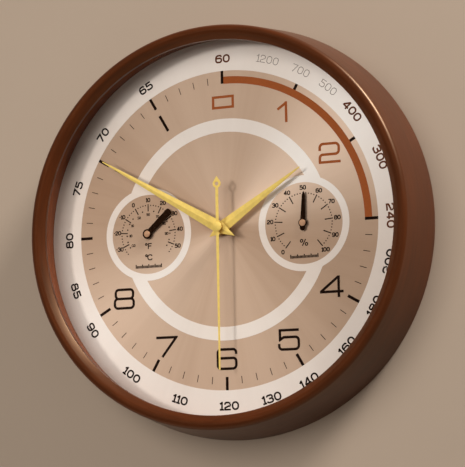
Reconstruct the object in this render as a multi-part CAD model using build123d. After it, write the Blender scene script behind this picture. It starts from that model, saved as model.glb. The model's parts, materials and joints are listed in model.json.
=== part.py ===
from build123d import *
import os
from math import acos, cos, pi, radians, sin, sqrt, tan

# A round wall clock with a thermometer and a hygrometer on its dial.
# It is drawn lying on its back: x to the right, y up the dial, z from the wall towards the viewer,
# with the axis of the hands through x = y = 0. Lengths are in millimetres. The finished pieces are
# stood up at the end, so that the clock faces -Y and the hole of its hanger lies at the origin.

# Fits that all pieces share
seat_gap = 0.05
running_gap = 0.05
end_play = 0.2
overrun = 2.0

# Battery, which sets the depth and the width of the movement
battery_radius = 7.0
battery_length = 50.0
battery_nub_radius = 2.75
battery_nub_length = 1.3
battery_edge = 0.6
battery_rear_gap = 0.65
battery_gap = 0.3

# Movement case
movement_wall = 1.0
movement_rear_gap = 0.6
movement_corner = 3.0
movement_top = 26.0
contact_room = 1.8
contact_thickness = 0.4
contact_width = 9.0
contact_height = 10.0
contact_finger_bend = 1.2
motor_room = 2.6
level_gap = 0.75
wheel_clearance = 3.0
pivot_depth = 0.6

# Hanger tab on the rear of the movement case
hanger_thickness = 2.4
hanger_half_width = 12.0
keyhole_radius = 4.5
keyhole_rise = 8.0
keyhole_slot_radius = 2.1
keyhole_slot_rise = 7.0
hanger_margin = 4.0
hanger_rib = 1.6
hanger_rib_height = 7.0

# Wheel train
train_arbor_radius = 0.5
train_post_radius = 0.6
pressure_angle = 20.0
pinion_shift = 0.4
addendum = 0.8
dedendum = 1.25
backlash_share = 0.08
third_module = 0.3
seconds_module = 0.28
rotor_module = 0.28
motion_module = 0.4
seconds_pinion_teeth = 8
third_wheel_teeth = 60
third_pinion_teeth = 8
centre_wheel_teeth = 64
cannon_teeth = 12
motion_wheel_teeth = 36
motion_pinion_teeth = 10
hour_wheel_teeth = 40
intermediate_pinion_teeth = 8
seconds_wheel_teeth = 48
rotor_pinion_teeth = 8
intermediate_wheel_teeth = 40
knob_pinion_teeth = 12
third_bearing = 150.0
motion_bearing = 20.0
knob_bearing = 60.0
intermediate_bearing = 200.0
rotor_bearing = 210.0

# Tubes of the hands
minute_tube_wall = 1.2
hour_tube_wall = 0.7
bush_wall = 0.75
bush_flange = 1.5
bush_flange_depth = 0.5

# Setting knob in its well
knob_radius = 6.5
knob_height = 3.0
knob_flutes = 14
knob_flute_radius = 0.7
knob_shaft_radius = 1.2
knob_well_gap = 1.0

# Motor: rotor, stator, coil
magnet_radius = 2.6
magnet_height = 1.8
air_gap = 0.6
stator_rest = 0.7
stator_thickness = 0.8
stator_ring = 1.3
stator_strip = 4.5
stator_arm = 4.0
stator_height = 22.0
coil_side_gap = 0.05
core_width = 3.0
core_thickness = 0.8
bobbin_wall = 0.4
bobbin_flange = 0.8
bobbin_width = 6.0
bobbin_depth = 3.5
winding_inset = 0.25

# Circuit board
board_width = 27.0
board_height = 9.0
board_margin = 1.0
board_thickness = 0.8
chip_radius = 3.0
chip_height = 1.2
crystal_radius = 1.0
crystal_length = 6.0

# Stack from the movement to the dial
rubber_thickness = 0.5
rubber_width = 8.0
plate_thickness = 2.0
dial_thickness = 0.8
washer_thickness = 0.6
washer_width = 1.3
nut_thickness = 2.2
nut_across_flats = 8.8
nut_sides = 6
bush_proud = 0.6

# Hands
hand_lift = 2.1
hand_step = 3.5
collet_flange = 0.5
collet_flange_width = 0.8
collet_wall = 0.9
collet_height = 1.6
hand_edge = 0.35
hand_ridge = 1.2
hand_tip_half_width = 0.35
hour_hand_length = 71.7
hour_hand_half_width = 4.6
hour_hand_tail = 11.0
hour_hand_angle = 57.0
minute_hand_length = 107.0
minute_hand_half_width = 4.4
minute_hand_tail = 13.5
minute_hand_angle = 300.6
second_hand_length = 101.0
second_hand_tail = 27.8
second_hand_angle = 180.0
second_hand_thickness = 0.6
second_hand_root_half_width = 1.0
second_hand_tip_half_width = 0.5
second_hand_eye_radius = 3.0
second_hand_eye_hole = 1.4
second_hand_spike = 2.4
second_hand_hub_radius = 2.4
second_sleeve_wall = 0.6
second_sleeve_length = 1.2
cap_radius = 3.4
cap_height = 1.3
cap_edge = 0.6

# Glass, hoop and frame ring
glass_clearance = 3.0
glass_thickness = 2.0
dial_opening_radius = 138.0
hoop_wall = 1.9
ring_fit = 0.1
ledge_width = 5.0
rim_wall = 5.0
rim_taper = 7.2
crest_width = 2.4
crest_rise = 4.5
lip_overhang = 5.0
lip_thickness = 2.5
crest_outer_round = 2.0
crest_inner_round = 2.4
lip_round = 0.8
foot_chamfer = 0.8

# Back plate and its screws
plate_screw_count = 8
plate_screw_bearing = 22.5
screw_radius = 1.1
screw_grip = 6.0
screw_head_radius = 2.2
screw_head_height = 1.4
screw_head_round = 0.5
screw_slot_width = 0.6
screw_slot_depth = 0.7
rib_height = 3.0
rib_width = 1.6
rib_gap = 5.0
rib_margin = 8.0
rib_count = 12
rib_bearing = 15.0

# Thermometer and hygrometer behind the dial
gauge_gap = 8.8
gauge_radius = 22.0
gauge_depth = 11.0
gauge_wall = 1.2
gauge_flange = 1.5
gauge_flange_thickness = 1.6
gauge_ear_radius = 3.4
gauge_ear_reach = 2.0
gauge_screw_grip = 1.4
vent_count = 10
vent_width = 2.0
vent_length = 7.0
gauge_arbor_radius = 1.0
gauge_collar = 1.0
gauge_boss_wall = 1.4
gauge_boss_height = 2.0
gauge_dial_hole_gap = 0.5
coil_thickness = 0.4
coil_pitch = 1.9
coil_half_turns = 12
coil_width = 4.0
coil_rise = 2.6
coil_post = 2.0
needle_lift = 1.8
needle_thickness = 0.5
pin_radius = 2.35
pin_height = 1.1
pin_edge = 0.4
thermometer_needle_length = 24.5
thermometer_needle_root_half_width = 2.0
thermometer_needle_tip_half_width = 2.6
thermometer_needle_corner = 1.6
thermometer_hub_radius = 3.6
thermometer_angle = 48.5
hygrometer_needle_length = 22.5
hygrometer_needle_root_half_width = 1.75
hygrometer_needle_tip_half_width = 1.1
hygrometer_needle_point = 2.6
hygrometer_needle_tail = 5.5
hygrometer_tail_half_width = 1.9
hygrometer_hub_radius = 3.1
hygrometer_angle = 3.0

# Places along the depth, from the wall to the crest
movement_rear = movement_rear_gap
movement_floor = movement_rear + movement_wall
battery_height = battery_rear_gap + battery_radius
movement_ceiling = battery_height + battery_radius + seat_gap
movement_front = movement_ceiling + movement_wall
plate_rear = movement_front + rubber_thickness
dial_rear = plate_rear + plate_thickness
dial_front = dial_rear + dial_thickness
washer_top = dial_front + washer_thickness
nut_top = washer_top + nut_thickness
bush_top = nut_top + bush_proud
hour_hand_base = bush_top + hand_lift + collet_flange
minute_hand_base = hour_hand_base + hand_step
second_hand_base = minute_hand_base + hand_step
second_hand_top = second_hand_base + second_hand_thickness
cap_top = second_hand_top + cap_height
glass_rear = cap_top + glass_clearance
glass_front = glass_rear + glass_thickness
lip_front = glass_front + lip_thickness
crest = lip_front + crest_rise
movement_split = (movement_floor + movement_ceiling) / 2

# Levels of the wheels, numbered from the dial side to the wall side
level_pitch = (movement_ceiling - movement_floor - motor_room) / 6
wheel_thickness = level_pitch - level_gap
hour_level, motion_level, centre_level, third_level, seconds_level, intermediate_level = range(6)

# Radii of the frame from the dial opening outwards
ring_bore = dial_opening_radius + hoop_wall + ring_fit
rear_bore = ring_bore + ledge_width
case_radius = rear_bore + rim_wall
crest_outer = case_radius - rim_taper
crest_inner = crest_outer - crest_width
lip_radius = dial_opening_radius - lip_overhang
plate_radius = rear_bore - ring_fit
plate_screw_circle = ring_bore + ledge_width / 2

# Radii of the tubes from the second hand's arbor outwards
minute_tube_bore = train_arbor_radius + running_gap
minute_tube_radius = minute_tube_bore + minute_tube_wall
hour_tube_bore = minute_tube_radius + running_gap
hour_tube_radius = hour_tube_bore + hour_tube_wall
bush_bore = hour_tube_radius + running_gap
bush_radius = bush_bore + bush_wall

# Module of the second pair on each axis that two pairs share
third_distance = third_module * (seconds_pinion_teeth + third_wheel_teeth) / 2
centre_module = 2 * third_distance / (third_pinion_teeth + centre_wheel_teeth)
motion_distance = motion_module * (cannon_teeth + motion_wheel_teeth) / 2
hour_module = 2 * motion_distance / (motion_pinion_teeth + hour_wheel_teeth)
knob_distance = motion_module * (knob_pinion_teeth + motion_wheel_teeth) / 2
intermediate_distance = seconds_module * (intermediate_pinion_teeth + seconds_wheel_teeth) / 2
rotor_distance = rotor_module * (rotor_pinion_teeth + intermediate_wheel_teeth) / 2

# Plan of the movement case
centre_wheel_reach = centre_module * centre_wheel_teeth / 2
partition_top = -(centre_wheel_reach + wheel_clearance)
partition_bottom = partition_top - movement_wall
battery_axis = partition_bottom - battery_gap - battery_radius
movement_bottom = battery_axis - battery_radius - battery_gap - movement_wall
keyhole_place = movement_top + keyhole_rise
bench_base = (Align.CENTER, Align.CENTER, Align.MIN)


def away(place, bearing, distance):
    """The point at a distance from a place, in a direction counted from the right."""
    return (place[0] + distance * cos(radians(bearing)), place[1] + distance * sin(radians(bearing)))


centre_axis = (0, 0)
third_axis = away(centre_axis, third_bearing, third_distance)
motion_axis = away(centre_axis, motion_bearing, motion_distance)
knob_axis = away(motion_axis, knob_bearing, knob_distance)
intermediate_axis = away(centre_axis, intermediate_bearing, intermediate_distance)
rotor_axis = away(intermediate_axis, rotor_bearing, rotor_distance)

# Width of the movement case, which takes the battery with its contacts or the motor with its coil
stator_reach = magnet_radius + air_gap + stator_ring
motor_room_across = stator_reach + bobbin_width + 2 * coil_side_gap - rotor_axis[0]
battery_room_across = battery_length / 2 + contact_room
movement_half_width = max(battery_room_across, motor_room_across) + movement_wall
coil_axis = -(movement_half_width - movement_wall - coil_side_gap - bobbin_width / 2)
gauge_offset = movement_half_width + gauge_gap + gauge_radius + gauge_flange
thermometer_axis = (-gauge_offset, 0)
hygrometer_axis = (gauge_offset, 0)


# Simple shapes, each between two heights above the wall

def disc(radius, low, high, place=(0, 0)):
    return Pos(place[0], place[1], low) * Cylinder(radius, high - low, align=bench_base)


def tube(radius, bore, low, high, place=(0, 0)):
    return disc(radius, low, high, place) - disc(bore, low - overrun, high + overrun, place)


def slab(left, right, bottom, top, low, high):
    middle = Pos((left + right) / 2, (bottom + top) / 2, low)
    return middle * Box(right - left, top - bottom, high - low, align=bench_base)


def prism(points, low, high):
    outline = make_face(Polyline(*points, close=True))
    return Pos(0, 0, low) * extrude(outline, high - low)


def turned(points):
    """A solid of revolution about the axis of the hands, from a closed outline of radius and height."""
    return revolve(turning_outline(points), Axis.Z)


def turning_outline(points):
    return make_face(Polyline(*[(radius, 0, height) for radius, height in points], close=True))


def rounded_corner(outline, radius, height, rounding):
    corner = outline.vertices().sort_by_distance((radius, 0, height))[0]
    return fillet(corner, rounding)


def domed_button(radius, low, high, edge):
    """A flat button with a crowned top that falls to the height of its edge."""
    rim = low + edge
    sag = high - rim
    sphere_radius = (radius ** 2 + sag ** 2) / (2 * sag)
    crown = Pos(0, 0, high - sphere_radius) * Sphere(sphere_radius)
    return disc(radius, low, high) & (crown + disc(radius, low - overrun, rim))


def clockwise(shape, angle):
    return Rot(0, 0, -angle) * shape


def around(count, start, radius):
    """Places spread evenly on a circle, with their bearings."""
    for number in range(count):
        bearing = start + number * 360 / count
        yield bearing, away((0, 0), bearing, radius)


# Toothed wheels

def level_range(level):
    high = movement_ceiling - level_gap - level * level_pitch
    return high - wheel_thickness, high


def involute(angle):
    return tan(angle) - angle


def toothed_outline(teeth, module, shift, phase, flank_steps):
    """Points of an involute wheel, thinned for backlash, with a tooth centred on the phase angle."""
    pitch_radius = module * teeth / 2
    base_radius = pitch_radius * cos(radians(pressure_angle))
    tip_radius = pitch_radius + module * (addendum + shift)
    root_radius = pitch_radius - module * (dedendum - shift)
    slant = tan(radians(pressure_angle))
    tooth = module * (pi / 2 + 2 * shift * slant - pi * backlash_share)
    at_pitch = tooth / (2 * pitch_radius) + involute(radians(pressure_angle))
    start_radius = max(base_radius, root_radius)
    flank = [(root_radius, at_pitch - involute(acos(base_radius / start_radius)))]
    for step in range(flank_steps + 1):
        radius = start_radius + (tip_radius - start_radius) * step / flank_steps
        if radius > root_radius:
            flank.append((radius, at_pitch - involute(acos(min(1, base_radius / radius)))))
    points = []
    for number in range(teeth):
        middle = phase + 2 * pi * number / teeth
        right = [(radius, middle - half) for radius, half in flank]
        left = [(radius, middle + half) for radius, half in reversed(flank)]
        points += [(radius * cos(angle), radius * sin(angle)) for radius, angle in right + left]
    return points


def toothed(teeth, module, shift, level, axis, phase=0, flank_steps=3):
    low, high = level_range(level)
    return Pos(*axis) * prism(toothed_outline(teeth, module, shift, phase, flank_steps), low, high)


def wheel(teeth, module, level, axis, phase=0):
    return toothed(teeth, module, -pinion_shift, level, axis, phase, 2)


def pinion(teeth, module, level, axis, phase=0):
    return toothed(teeth, module, pinion_shift, level, axis, phase)


def pinion_hub(teeth, module):
    """Radius of the plain hub that joins a pinion to its wheel, just inside the roots of its teeth."""
    return module * (teeth / 2 - dedendum + pinion_shift) * cos(pi / teeth)


def meshing_phase(bearing, teeth, mate_teeth, mate_phase=0):
    """Phase of a wheel whose mate, with a known phase, lies towards the bearing."""
    towards = radians(bearing)
    mate_pitches = (towards + pi - mate_phase) * mate_teeth / (2 * pi)
    return towards - (1 / 2 - mate_pitches) * 2 * pi / teeth


def arbor(axis, low, high, radius=train_arbor_radius):
    return disc(radius, low, high, axis)


def full_arbor(axis):
    """An arbor whose two ends run in blind holes in the walls of the movement case."""
    play = end_play / 2
    return arbor(axis, movement_floor - pivot_depth + play, movement_ceiling + pivot_depth - play)


def pivot_hole(axis, wall_face, inwards):
    depth = pivot_depth * inwards
    low, high = sorted((wall_face - depth, wall_face + overrun * inwards))
    return disc(train_arbor_radius + running_gap, low, high, axis)


# Frame, glass and dial

def frame_ring():
    outline = turning_outline([
        (case_radius - foot_chamfer, 0),
        (case_radius, foot_chamfer),
        (crest_outer, crest),
        (crest_inner, crest),
        (lip_radius, lip_front),
        (lip_radius, glass_front),
        (ring_bore, glass_front),
        (ring_bore, dial_front),
        (rear_bore, dial_front),
        (rear_bore, 0),
    ])
    outline = rounded_corner(outline, crest_outer, crest, crest_outer_round)
    outline = rounded_corner(outline, crest_inner, crest, crest_inner_round)
    outline = rounded_corner(outline, lip_radius, lip_front, lip_round)
    ring = revolve(outline, Axis.Z)
    for bearing, place in plate_screw_places():
        ring -= disc(screw_radius + seat_gap, dial_front - overrun, screw_tip() + end_play, place)
    return ring


def front_glass():
    radius = ring_bore - ring_fit
    glass = disc(radius, glass_rear, glass_front)
    return chamfer(glass.edges().filter_by(GeomType.CIRCLE), ring_fit)


def spacer_hoop():
    return tube(ring_bore - ring_fit, dial_opening_radius, dial_front, glass_rear)


def plate_screw_places():
    return around(plate_screw_count, plate_screw_bearing, plate_screw_circle)


def plate_screw_holes(low, high):
    return [disc(screw_radius + seat_gap, low, high, place) for bearing, place in plate_screw_places()]


def dial_plate():
    low, high = dial_rear - overrun, dial_front + overrun
    plate = disc(plate_radius, dial_rear, dial_front)
    plate -= disc(bush_radius + seat_gap, low, high)
    for axis in (thermometer_axis, hygrometer_axis):
        plate -= disc(gauge_arbor_radius + gauge_dial_hole_gap, low, high, axis)
    return plate - plate_screw_holes(low, high)


def back_plate():
    low, high = plate_rear - rib_height - overrun, dial_rear + overrun
    inner_rib = gauge_offset + gauge_radius + gauge_flange + rib_gap
    outer_rib = ring_bore - rib_margin
    rib_rear = plate_rear - rib_height
    plate = disc(plate_radius, plate_rear, dial_rear)
    for radius in (inner_rib, outer_rib):
        plate += tube(radius + rib_width / 2, radius - rib_width / 2, rib_rear, plate_rear)
    rib = slab(inner_rib, outer_rib, -rib_width / 2, rib_width / 2, rib_rear, plate_rear)
    for number in range(rib_count):
        plate += Rot(0, 0, rib_bearing + number * 360 / rib_count) * rib
    plate -= disc(bush_radius + seat_gap, low, high)
    for axis in (thermometer_axis, hygrometer_axis):
        plate -= disc(gauge_arbor_radius + running_gap, low, high, axis)
        for place in gauge_screw_places(axis):
            hole_top = plate_rear + gauge_screw_grip + seat_gap
            plate -= disc(screw_radius + seat_gap, low, hole_top, place)
    return plate - plate_screw_holes(low, high)


def screw_tip():
    return dial_front + screw_grip


def screw(seat, tip):
    """A cross-slotted screw whose round head lies behind its seat and whose shank goes forward."""
    head = disc(screw_head_radius, seat - screw_head_height, seat)
    head = fillet(head.edges().group_by(Axis.Z)[0], screw_head_round)
    reach = screw_head_radius - screw_head_round
    low, high = seat - screw_head_height - overrun, seat - screw_head_height + screw_slot_depth
    half = screw_slot_width / 2
    cross = slab(-reach, reach, -half, half, low, high) + slab(-half, half, -reach, reach, low, high)
    return head - cross + disc(screw_radius, seat, tip)


def back_plate_screws():
    one = screw(plate_rear, screw_tip())
    places = plate_screw_places()
    return Compound(children=[Pos(*place) * Rot(0, 0, bearing) * one for bearing, place in places])


# Movement case and what holds it

def rounded_block(half_width, bottom, top, low, high, corner):
    block = slab(-half_width, half_width, bottom, top, low, high)
    return fillet(block.edges().filter_by(Axis.Z), corner)


def case_walls(low, high):
    inner = movement_half_width - movement_wall
    walls = rounded_block(movement_half_width, movement_bottom, movement_top, low, high, movement_corner)
    hollow = rounded_block(
        inner,
        movement_bottom + movement_wall,
        movement_top - movement_wall,
        low - overrun,
        high + overrun,
        movement_corner - movement_wall,
    )
    return walls - hollow + slab(-inner, inner, partition_bottom, partition_top, low, high)


def movement_front_case():
    case = case_walls(movement_split, movement_ceiling)
    case += rounded_block(
        movement_half_width,
        movement_bottom,
        movement_top,
        movement_ceiling,
        movement_front,
        movement_corner,
    )
    motion_low, motion_high = level_range(motion_level)
    case += disc(train_post_radius, motion_low - level_gap / 2, movement_ceiling, motion_axis)
    flange_top = movement_ceiling + bush_flange_depth
    case -= disc(bush_radius + bush_flange + seat_gap, movement_ceiling - overrun, flange_top)
    case -= disc(bush_radius + seat_gap, movement_ceiling, movement_front + overrun)
    for axis in (third_axis, rotor_axis, knob_axis):
        case -= pivot_hole(axis, movement_ceiling, -1)
    return case


def hanger_tab():
    """The keyhole plate above the case, flush with the wall, with a rib along each side."""
    slot_top = keyhole_place + keyhole_slot_rise
    top = slot_top + keyhole_slot_radius + hanger_margin
    foot = movement_top - movement_wall
    tab = rounded_block(hanger_half_width, foot, top, 0, hanger_thickness, movement_wall)
    low, high = -overrun, hanger_thickness + overrun
    tab -= disc(keyhole_radius, low, high, (0, keyhole_place))
    tab -= disc(keyhole_slot_radius, low, high, (0, slot_top))
    tab -= slab(-keyhole_slot_radius, keyhole_slot_radius, keyhole_place, slot_top, low, high)
    gusset = [
        (movement_top, hanger_thickness),
        (top - movement_wall, hanger_thickness),
        (movement_top, hanger_thickness + hanger_rib_height),
    ]
    outline = make_face(Polyline(*[(0, along, height) for along, height in gusset], close=True))
    rib = extrude(outline, hanger_rib, dir=(1, 0, 0))
    return tab + Pos(hanger_half_width - hanger_rib, 0, 0) * rib + Pos(-hanger_half_width, 0, 0) * rib


def movement_rear_case():
    inner = movement_half_width - movement_wall
    case = rounded_block(
        movement_half_width,
        movement_bottom,
        movement_top,
        movement_rear,
        movement_floor,
        movement_corner,
    )
    case += case_walls(movement_floor, movement_split)
    bay_bottom = movement_bottom + movement_wall
    case -= slab(-inner, inner, bay_bottom, partition_bottom, -overrun, movement_floor)
    well_floor = knob_well_floor()
    well = knob_radius + knob_well_gap
    case += disc(well + movement_wall, movement_rear, well_floor + movement_wall, knob_axis)
    case -= disc(well, movement_rear - overrun, well_floor, knob_axis)
    case -= disc(knob_shaft_radius + running_gap, movement_rear, well_floor + overrun, knob_axis)
    seconds_low, seconds_high = level_range(seconds_level)
    post_top = seconds_high + level_gap / 3
    case += disc(train_post_radius, movement_floor, post_top, intermediate_axis)
    for axis in (centre_axis, third_axis, rotor_axis):
        case -= pivot_hole(axis, movement_floor, 1)
    for pad in stator_pads() + board_pads():
        case += pad
    return case + hanger_tab()


def centre_bush():
    flange_top = movement_ceiling + bush_flange_depth
    bush = disc(bush_radius, movement_ceiling, bush_top)
    bush += disc(bush_radius + bush_flange, movement_ceiling, flange_top)
    return bush - disc(bush_bore, movement_ceiling - overrun, bush_top + overrun)


def rubber_washer():
    bore = bush_radius + seat_gap
    return tube(bore + rubber_width, bore, movement_front, plate_rear)


def dial_washer():
    bore = bush_radius + seat_gap
    return tube(bore + washer_width, bore, dial_front, washer_top)


def fixing_nut():
    outline = RegularPolygon(nut_across_flats / 2, nut_sides, major_radius=False)
    nut = Pos(0, 0, washer_top) * extrude(outline, nut_thickness)
    corner_radius = nut_across_flats / 2 / cos(pi / nut_sides)
    bevel = (corner_radius - nut_across_flats / 2) / 2
    cone = turned([
        (0, washer_top),
        (corner_radius, washer_top),
        (corner_radius, nut_top - bevel),
        (corner_radius - bevel, nut_top),
        (0, nut_top),
    ])
    return (nut & cone) - disc(bush_radius + seat_gap, washer_top - overrun, nut_top + overrun)


# Wheels of the movement

def seconds_wheel():
    phase = meshing_phase(intermediate_bearing, seconds_wheel_teeth, intermediate_pinion_teeth)
    body = wheel(seconds_wheel_teeth, seconds_module, seconds_level, centre_axis, phase)
    body += pinion(seconds_pinion_teeth, third_module, third_level, centre_axis)
    foot = movement_floor - pivot_depth + end_play / 2
    return body + arbor(centre_axis, foot, second_hand_top)


def third_wheel():
    towards_centre = third_bearing + 180
    phase = meshing_phase(towards_centre, third_wheel_teeth, seconds_pinion_teeth)
    body = wheel(third_wheel_teeth, third_module, third_level, third_axis, phase)
    body += pinion(third_pinion_teeth, centre_module, centre_level, third_axis)
    return body + full_arbor(third_axis)


def centre_wheel():
    phase = meshing_phase(third_bearing, centre_wheel_teeth, third_pinion_teeth)
    low, high = level_range(centre_level)
    body = wheel(centre_wheel_teeth, centre_module, centre_level, centre_axis, phase)
    body += pinion(cannon_teeth, motion_module, motion_level, centre_axis)
    top = minute_hand_base + collet_height
    body += disc(minute_tube_radius, low, top)
    return body - disc(minute_tube_bore, low - overrun, top + overrun)


def motion_wheel_phase():
    return meshing_phase(motion_bearing + 180, motion_wheel_teeth, cannon_teeth)


def motion_wheel():
    low, high = level_range(motion_level)[0], level_range(hour_level)[1]
    phase = motion_wheel_phase()
    body = wheel(motion_wheel_teeth, motion_module, motion_level, motion_axis, phase)
    body += disc(pinion_hub(motion_pinion_teeth, hour_module), low, high, motion_axis)
    body += pinion(motion_pinion_teeth, hour_module, hour_level, motion_axis)
    return body - disc(train_post_radius + running_gap, low - overrun, high + overrun, motion_axis)


def hour_wheel():
    low, high = level_range(hour_level)
    phase = meshing_phase(motion_bearing, hour_wheel_teeth, motion_pinion_teeth)
    body = wheel(hour_wheel_teeth, hour_module, hour_level, centre_axis, phase)
    top = hour_hand_base + collet_height
    body += disc(hour_tube_radius, low, top)
    return body - disc(hour_tube_bore, low - overrun, top + overrun)


def intermediate_wheel():
    low, high = level_range(intermediate_level)[0], level_range(seconds_level)[1]
    phase = meshing_phase(rotor_bearing, intermediate_wheel_teeth, rotor_pinion_teeth)
    body = wheel(intermediate_wheel_teeth, rotor_module, intermediate_level, intermediate_axis, phase)
    body += disc(pinion_hub(intermediate_pinion_teeth, seconds_module), low, high, intermediate_axis)
    body += pinion(intermediate_pinion_teeth, seconds_module, seconds_level, intermediate_axis)
    bore = disc(train_post_radius + running_gap, low - overrun, high + overrun, intermediate_axis)
    return body - bore


def rotor_pinion():
    body = pinion(rotor_pinion_teeth, rotor_module, intermediate_level, rotor_axis)
    return body + full_arbor(rotor_axis)


def rotor_magnet():
    low = movement_floor + end_play
    bore = train_arbor_radius + seat_gap
    return tube(magnet_radius, bore, low, low + magnet_height, rotor_axis)


def knob_well_floor():
    return movement_rear + end_play + knob_height + end_play


def setting_knob():
    phase = meshing_phase(knob_bearing + 180, knob_pinion_teeth, motion_wheel_teeth, motion_wheel_phase())
    rear = movement_rear + end_play
    grip = disc(knob_radius, rear, rear + knob_height)
    for bearing, place in around(knob_flutes, 0, knob_radius):
        grip -= disc(knob_flute_radius, rear - overrun, rear + knob_height + overrun, place)
    low, high = level_range(motion_level)
    body = Pos(*knob_axis) * grip + disc(knob_shaft_radius, rear, low, knob_axis)
    body += pinion(knob_pinion_teeth, motion_module, motion_level, knob_axis, phase)
    return body + arbor(knob_axis, low, movement_ceiling + pivot_depth - end_play / 2)


# Motor and circuit

def stator_low():
    return movement_floor + stator_rest


def stator_span():
    bottom = rotor_axis[1] - stator_arm
    return bottom, bottom + stator_height


def stator():
    low, high = stator_low(), stator_low() + stator_thickness
    hole = magnet_radius + air_gap
    bottom, top = stator_span()
    left = coil_axis - core_width / 2
    right = rotor_axis[0] - hole + stator_strip
    plate = disc(stator_reach, low, high, rotor_axis)
    plate += slab(rotor_axis[0] - stator_reach, right, rotor_axis[1], top, low, high)
    plate += slab(left, right, top - stator_arm, top, low, high)
    plate += slab(left, rotor_axis[0], bottom, bottom + stator_arm, low, high)
    return plate - disc(hole, low - overrun, high + overrun, rotor_axis)


def stator_pads():
    bottom, top = stator_span()
    left = coil_axis - core_width / 2
    pads = []
    for edge in (bottom, top - stator_arm):
        pads.append(slab(left, left + core_width, edge, edge + stator_arm, movement_floor, stator_low()))
    return pads


def core_height():
    low = stator_low() + stator_thickness
    return low, low + core_thickness


def coil_ends():
    bottom, top = stator_span()
    return bottom + stator_arm + seat_gap, top - stator_arm - seat_gap


def coil_block(half_width, half_depth, bottom, top):
    """A block round the coil's core, between two places along it."""
    low, high = core_height()
    middle = (low + high) / 2
    left, right = coil_axis - half_width, coil_axis + half_width
    return slab(left, right, bottom, top, middle - half_depth, middle + half_depth)


def coil_core():
    bottom, top = stator_span()
    return coil_block(core_width / 2, core_thickness / 2, bottom, top)


def bobbin_bore(bottom, top):
    fit = seat_gap
    return coil_block(core_width / 2 + fit, core_thickness / 2 + fit, bottom - overrun, top + overrun)


def bobbin_tube(bottom, top, extra=0):
    wall = bobbin_wall + seat_gap + extra
    return coil_block(core_width / 2 + wall, core_thickness / 2 + wall, bottom, top)


def coil_bobbin():
    bottom, top = coil_ends()
    spool = bobbin_tube(bottom, top)
    for low_edge in (bottom, top - bobbin_flange):
        spool += coil_block(bobbin_width / 2, bobbin_depth / 2, low_edge, low_edge + bobbin_flange)
    return spool - bobbin_bore(bottom, top)


def coil_winding():
    bottom, top = coil_ends()
    low_edge, high_edge = bottom + bobbin_flange, top - bobbin_flange
    half_width = bobbin_width / 2 - winding_inset
    half_depth = bobbin_depth / 2 - winding_inset
    winding = coil_block(half_width, half_depth, low_edge, high_edge)
    winding = fillet(winding.edges().filter_by(Axis.Y), half_depth / 2)
    return winding - bobbin_tube(low_edge - overrun, high_edge + overrun, seat_gap)


def board_edges():
    left = -(movement_half_width - movement_wall - board_margin)
    top = movement_top - movement_wall - board_margin
    return left, left + board_width, top - board_height, top


def board_low():
    return movement_floor + stator_rest


def circuit_board():
    return slab(*board_edges(), board_low(), board_low() + board_thickness)


def board_pads():
    left, right, bottom, top = board_edges()
    sides = (left, right - board_margin)
    return [slab(side, side + board_margin, bottom, top, movement_floor, board_low()) for side in sides]


def driver_chip():
    left, right, bottom, top = board_edges()
    low = board_low() + board_thickness
    drop = domed_button(chip_radius, low, low + chip_height, chip_height / 4)
    return Pos((left + right) / 2, (bottom + top) / 2) * drop


def quartz_crystal():
    left, right, bottom, top = board_edges()
    height = board_low() + board_thickness + crystal_radius
    can = Cylinder(crystal_radius, crystal_length, align=bench_base)
    return Pos(right - board_margin - crystal_length, (bottom + top) / 2, height) * Rot(0, 90, 0) * can


# Battery and contacts

def battery_right():
    return movement_half_width - movement_wall - contact_thickness - seat_gap


def battery():
    right = battery_right()
    can_length = battery_length - battery_nub_length
    can = Cylinder(battery_radius, can_length, align=bench_base)
    can = fillet(can.edges().filter_by(GeomType.CIRCLE), battery_edge)
    nub = Cylinder(battery_nub_radius, battery_length, align=bench_base)
    return Pos(right - battery_length, battery_axis, battery_height) * Rot(0, 90, 0) * (can + nub)


def contact_positive():
    right = movement_half_width - movement_wall
    return contact_leaf(right - contact_thickness, right)


def contact_leaf(left, right):
    bottom, top = battery_axis - contact_width / 2, battery_axis + contact_width / 2
    low, high = battery_height - contact_height / 2, battery_height + contact_height / 2
    return slab(left, right, bottom, top, low, high)


def contact_negative():
    """A leaf on the wall with a springy finger that is bent over to the end of the battery."""
    left = -(movement_half_width - movement_wall)
    battery_end = battery_right() - battery_length - seat_gap
    low, high = battery_height - contact_height / 2, battery_height + contact_height / 2
    bottom, top = battery_axis - contact_width / 2, battery_axis + contact_width / 2
    leaf = contact_leaf(left, left + contact_thickness)
    finger = [
        (left, high),
        (left, high - contact_thickness),
        (battery_end - contact_thickness, high - contact_finger_bend - contact_thickness),
        (battery_end - contact_thickness, low),
        (battery_end, low),
        (battery_end, high - contact_finger_bend),
    ]
    outline = make_face(Polyline(*[(across, 0, height) for across, height in finger], close=True))
    return leaf + Pos(0, bottom, 0) * extrude(outline, top - bottom, dir=(0, 1, 0))


# Hands

def faceted_hand(length, half_width, tail, base):
    """A kite-shaped hand with a ridge from its tail to its tip, pointing up the dial."""
    edge = base + hand_edge
    ridge = base + hand_ridge
    right_tip, left_tip = (hand_tip_half_width, length), (-hand_tip_half_width, length)
    right, left, end = (half_width, 0), (-half_width, 0), (0, -tail)
    corners = [right_tip, left_tip, left, end, right]
    peak = (0, 0, ridge)
    faces = [Face(Wire.make_polygon([(x, y, base) for x, y in reversed(corners)]))]
    for one, other in zip(corners, corners[1:] + corners[:1]):
        low_one, low_other = (*one, base), (*other, base)
        high_one, high_other = (*one, edge), (*other, edge)
        faces.append(Face(Wire.make_polygon([low_one, low_other, high_other, high_one])))
        faces.append(Face(Wire.make_polygon([high_one, high_other, peak])))
    return Solid(Shell(faces))


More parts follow.
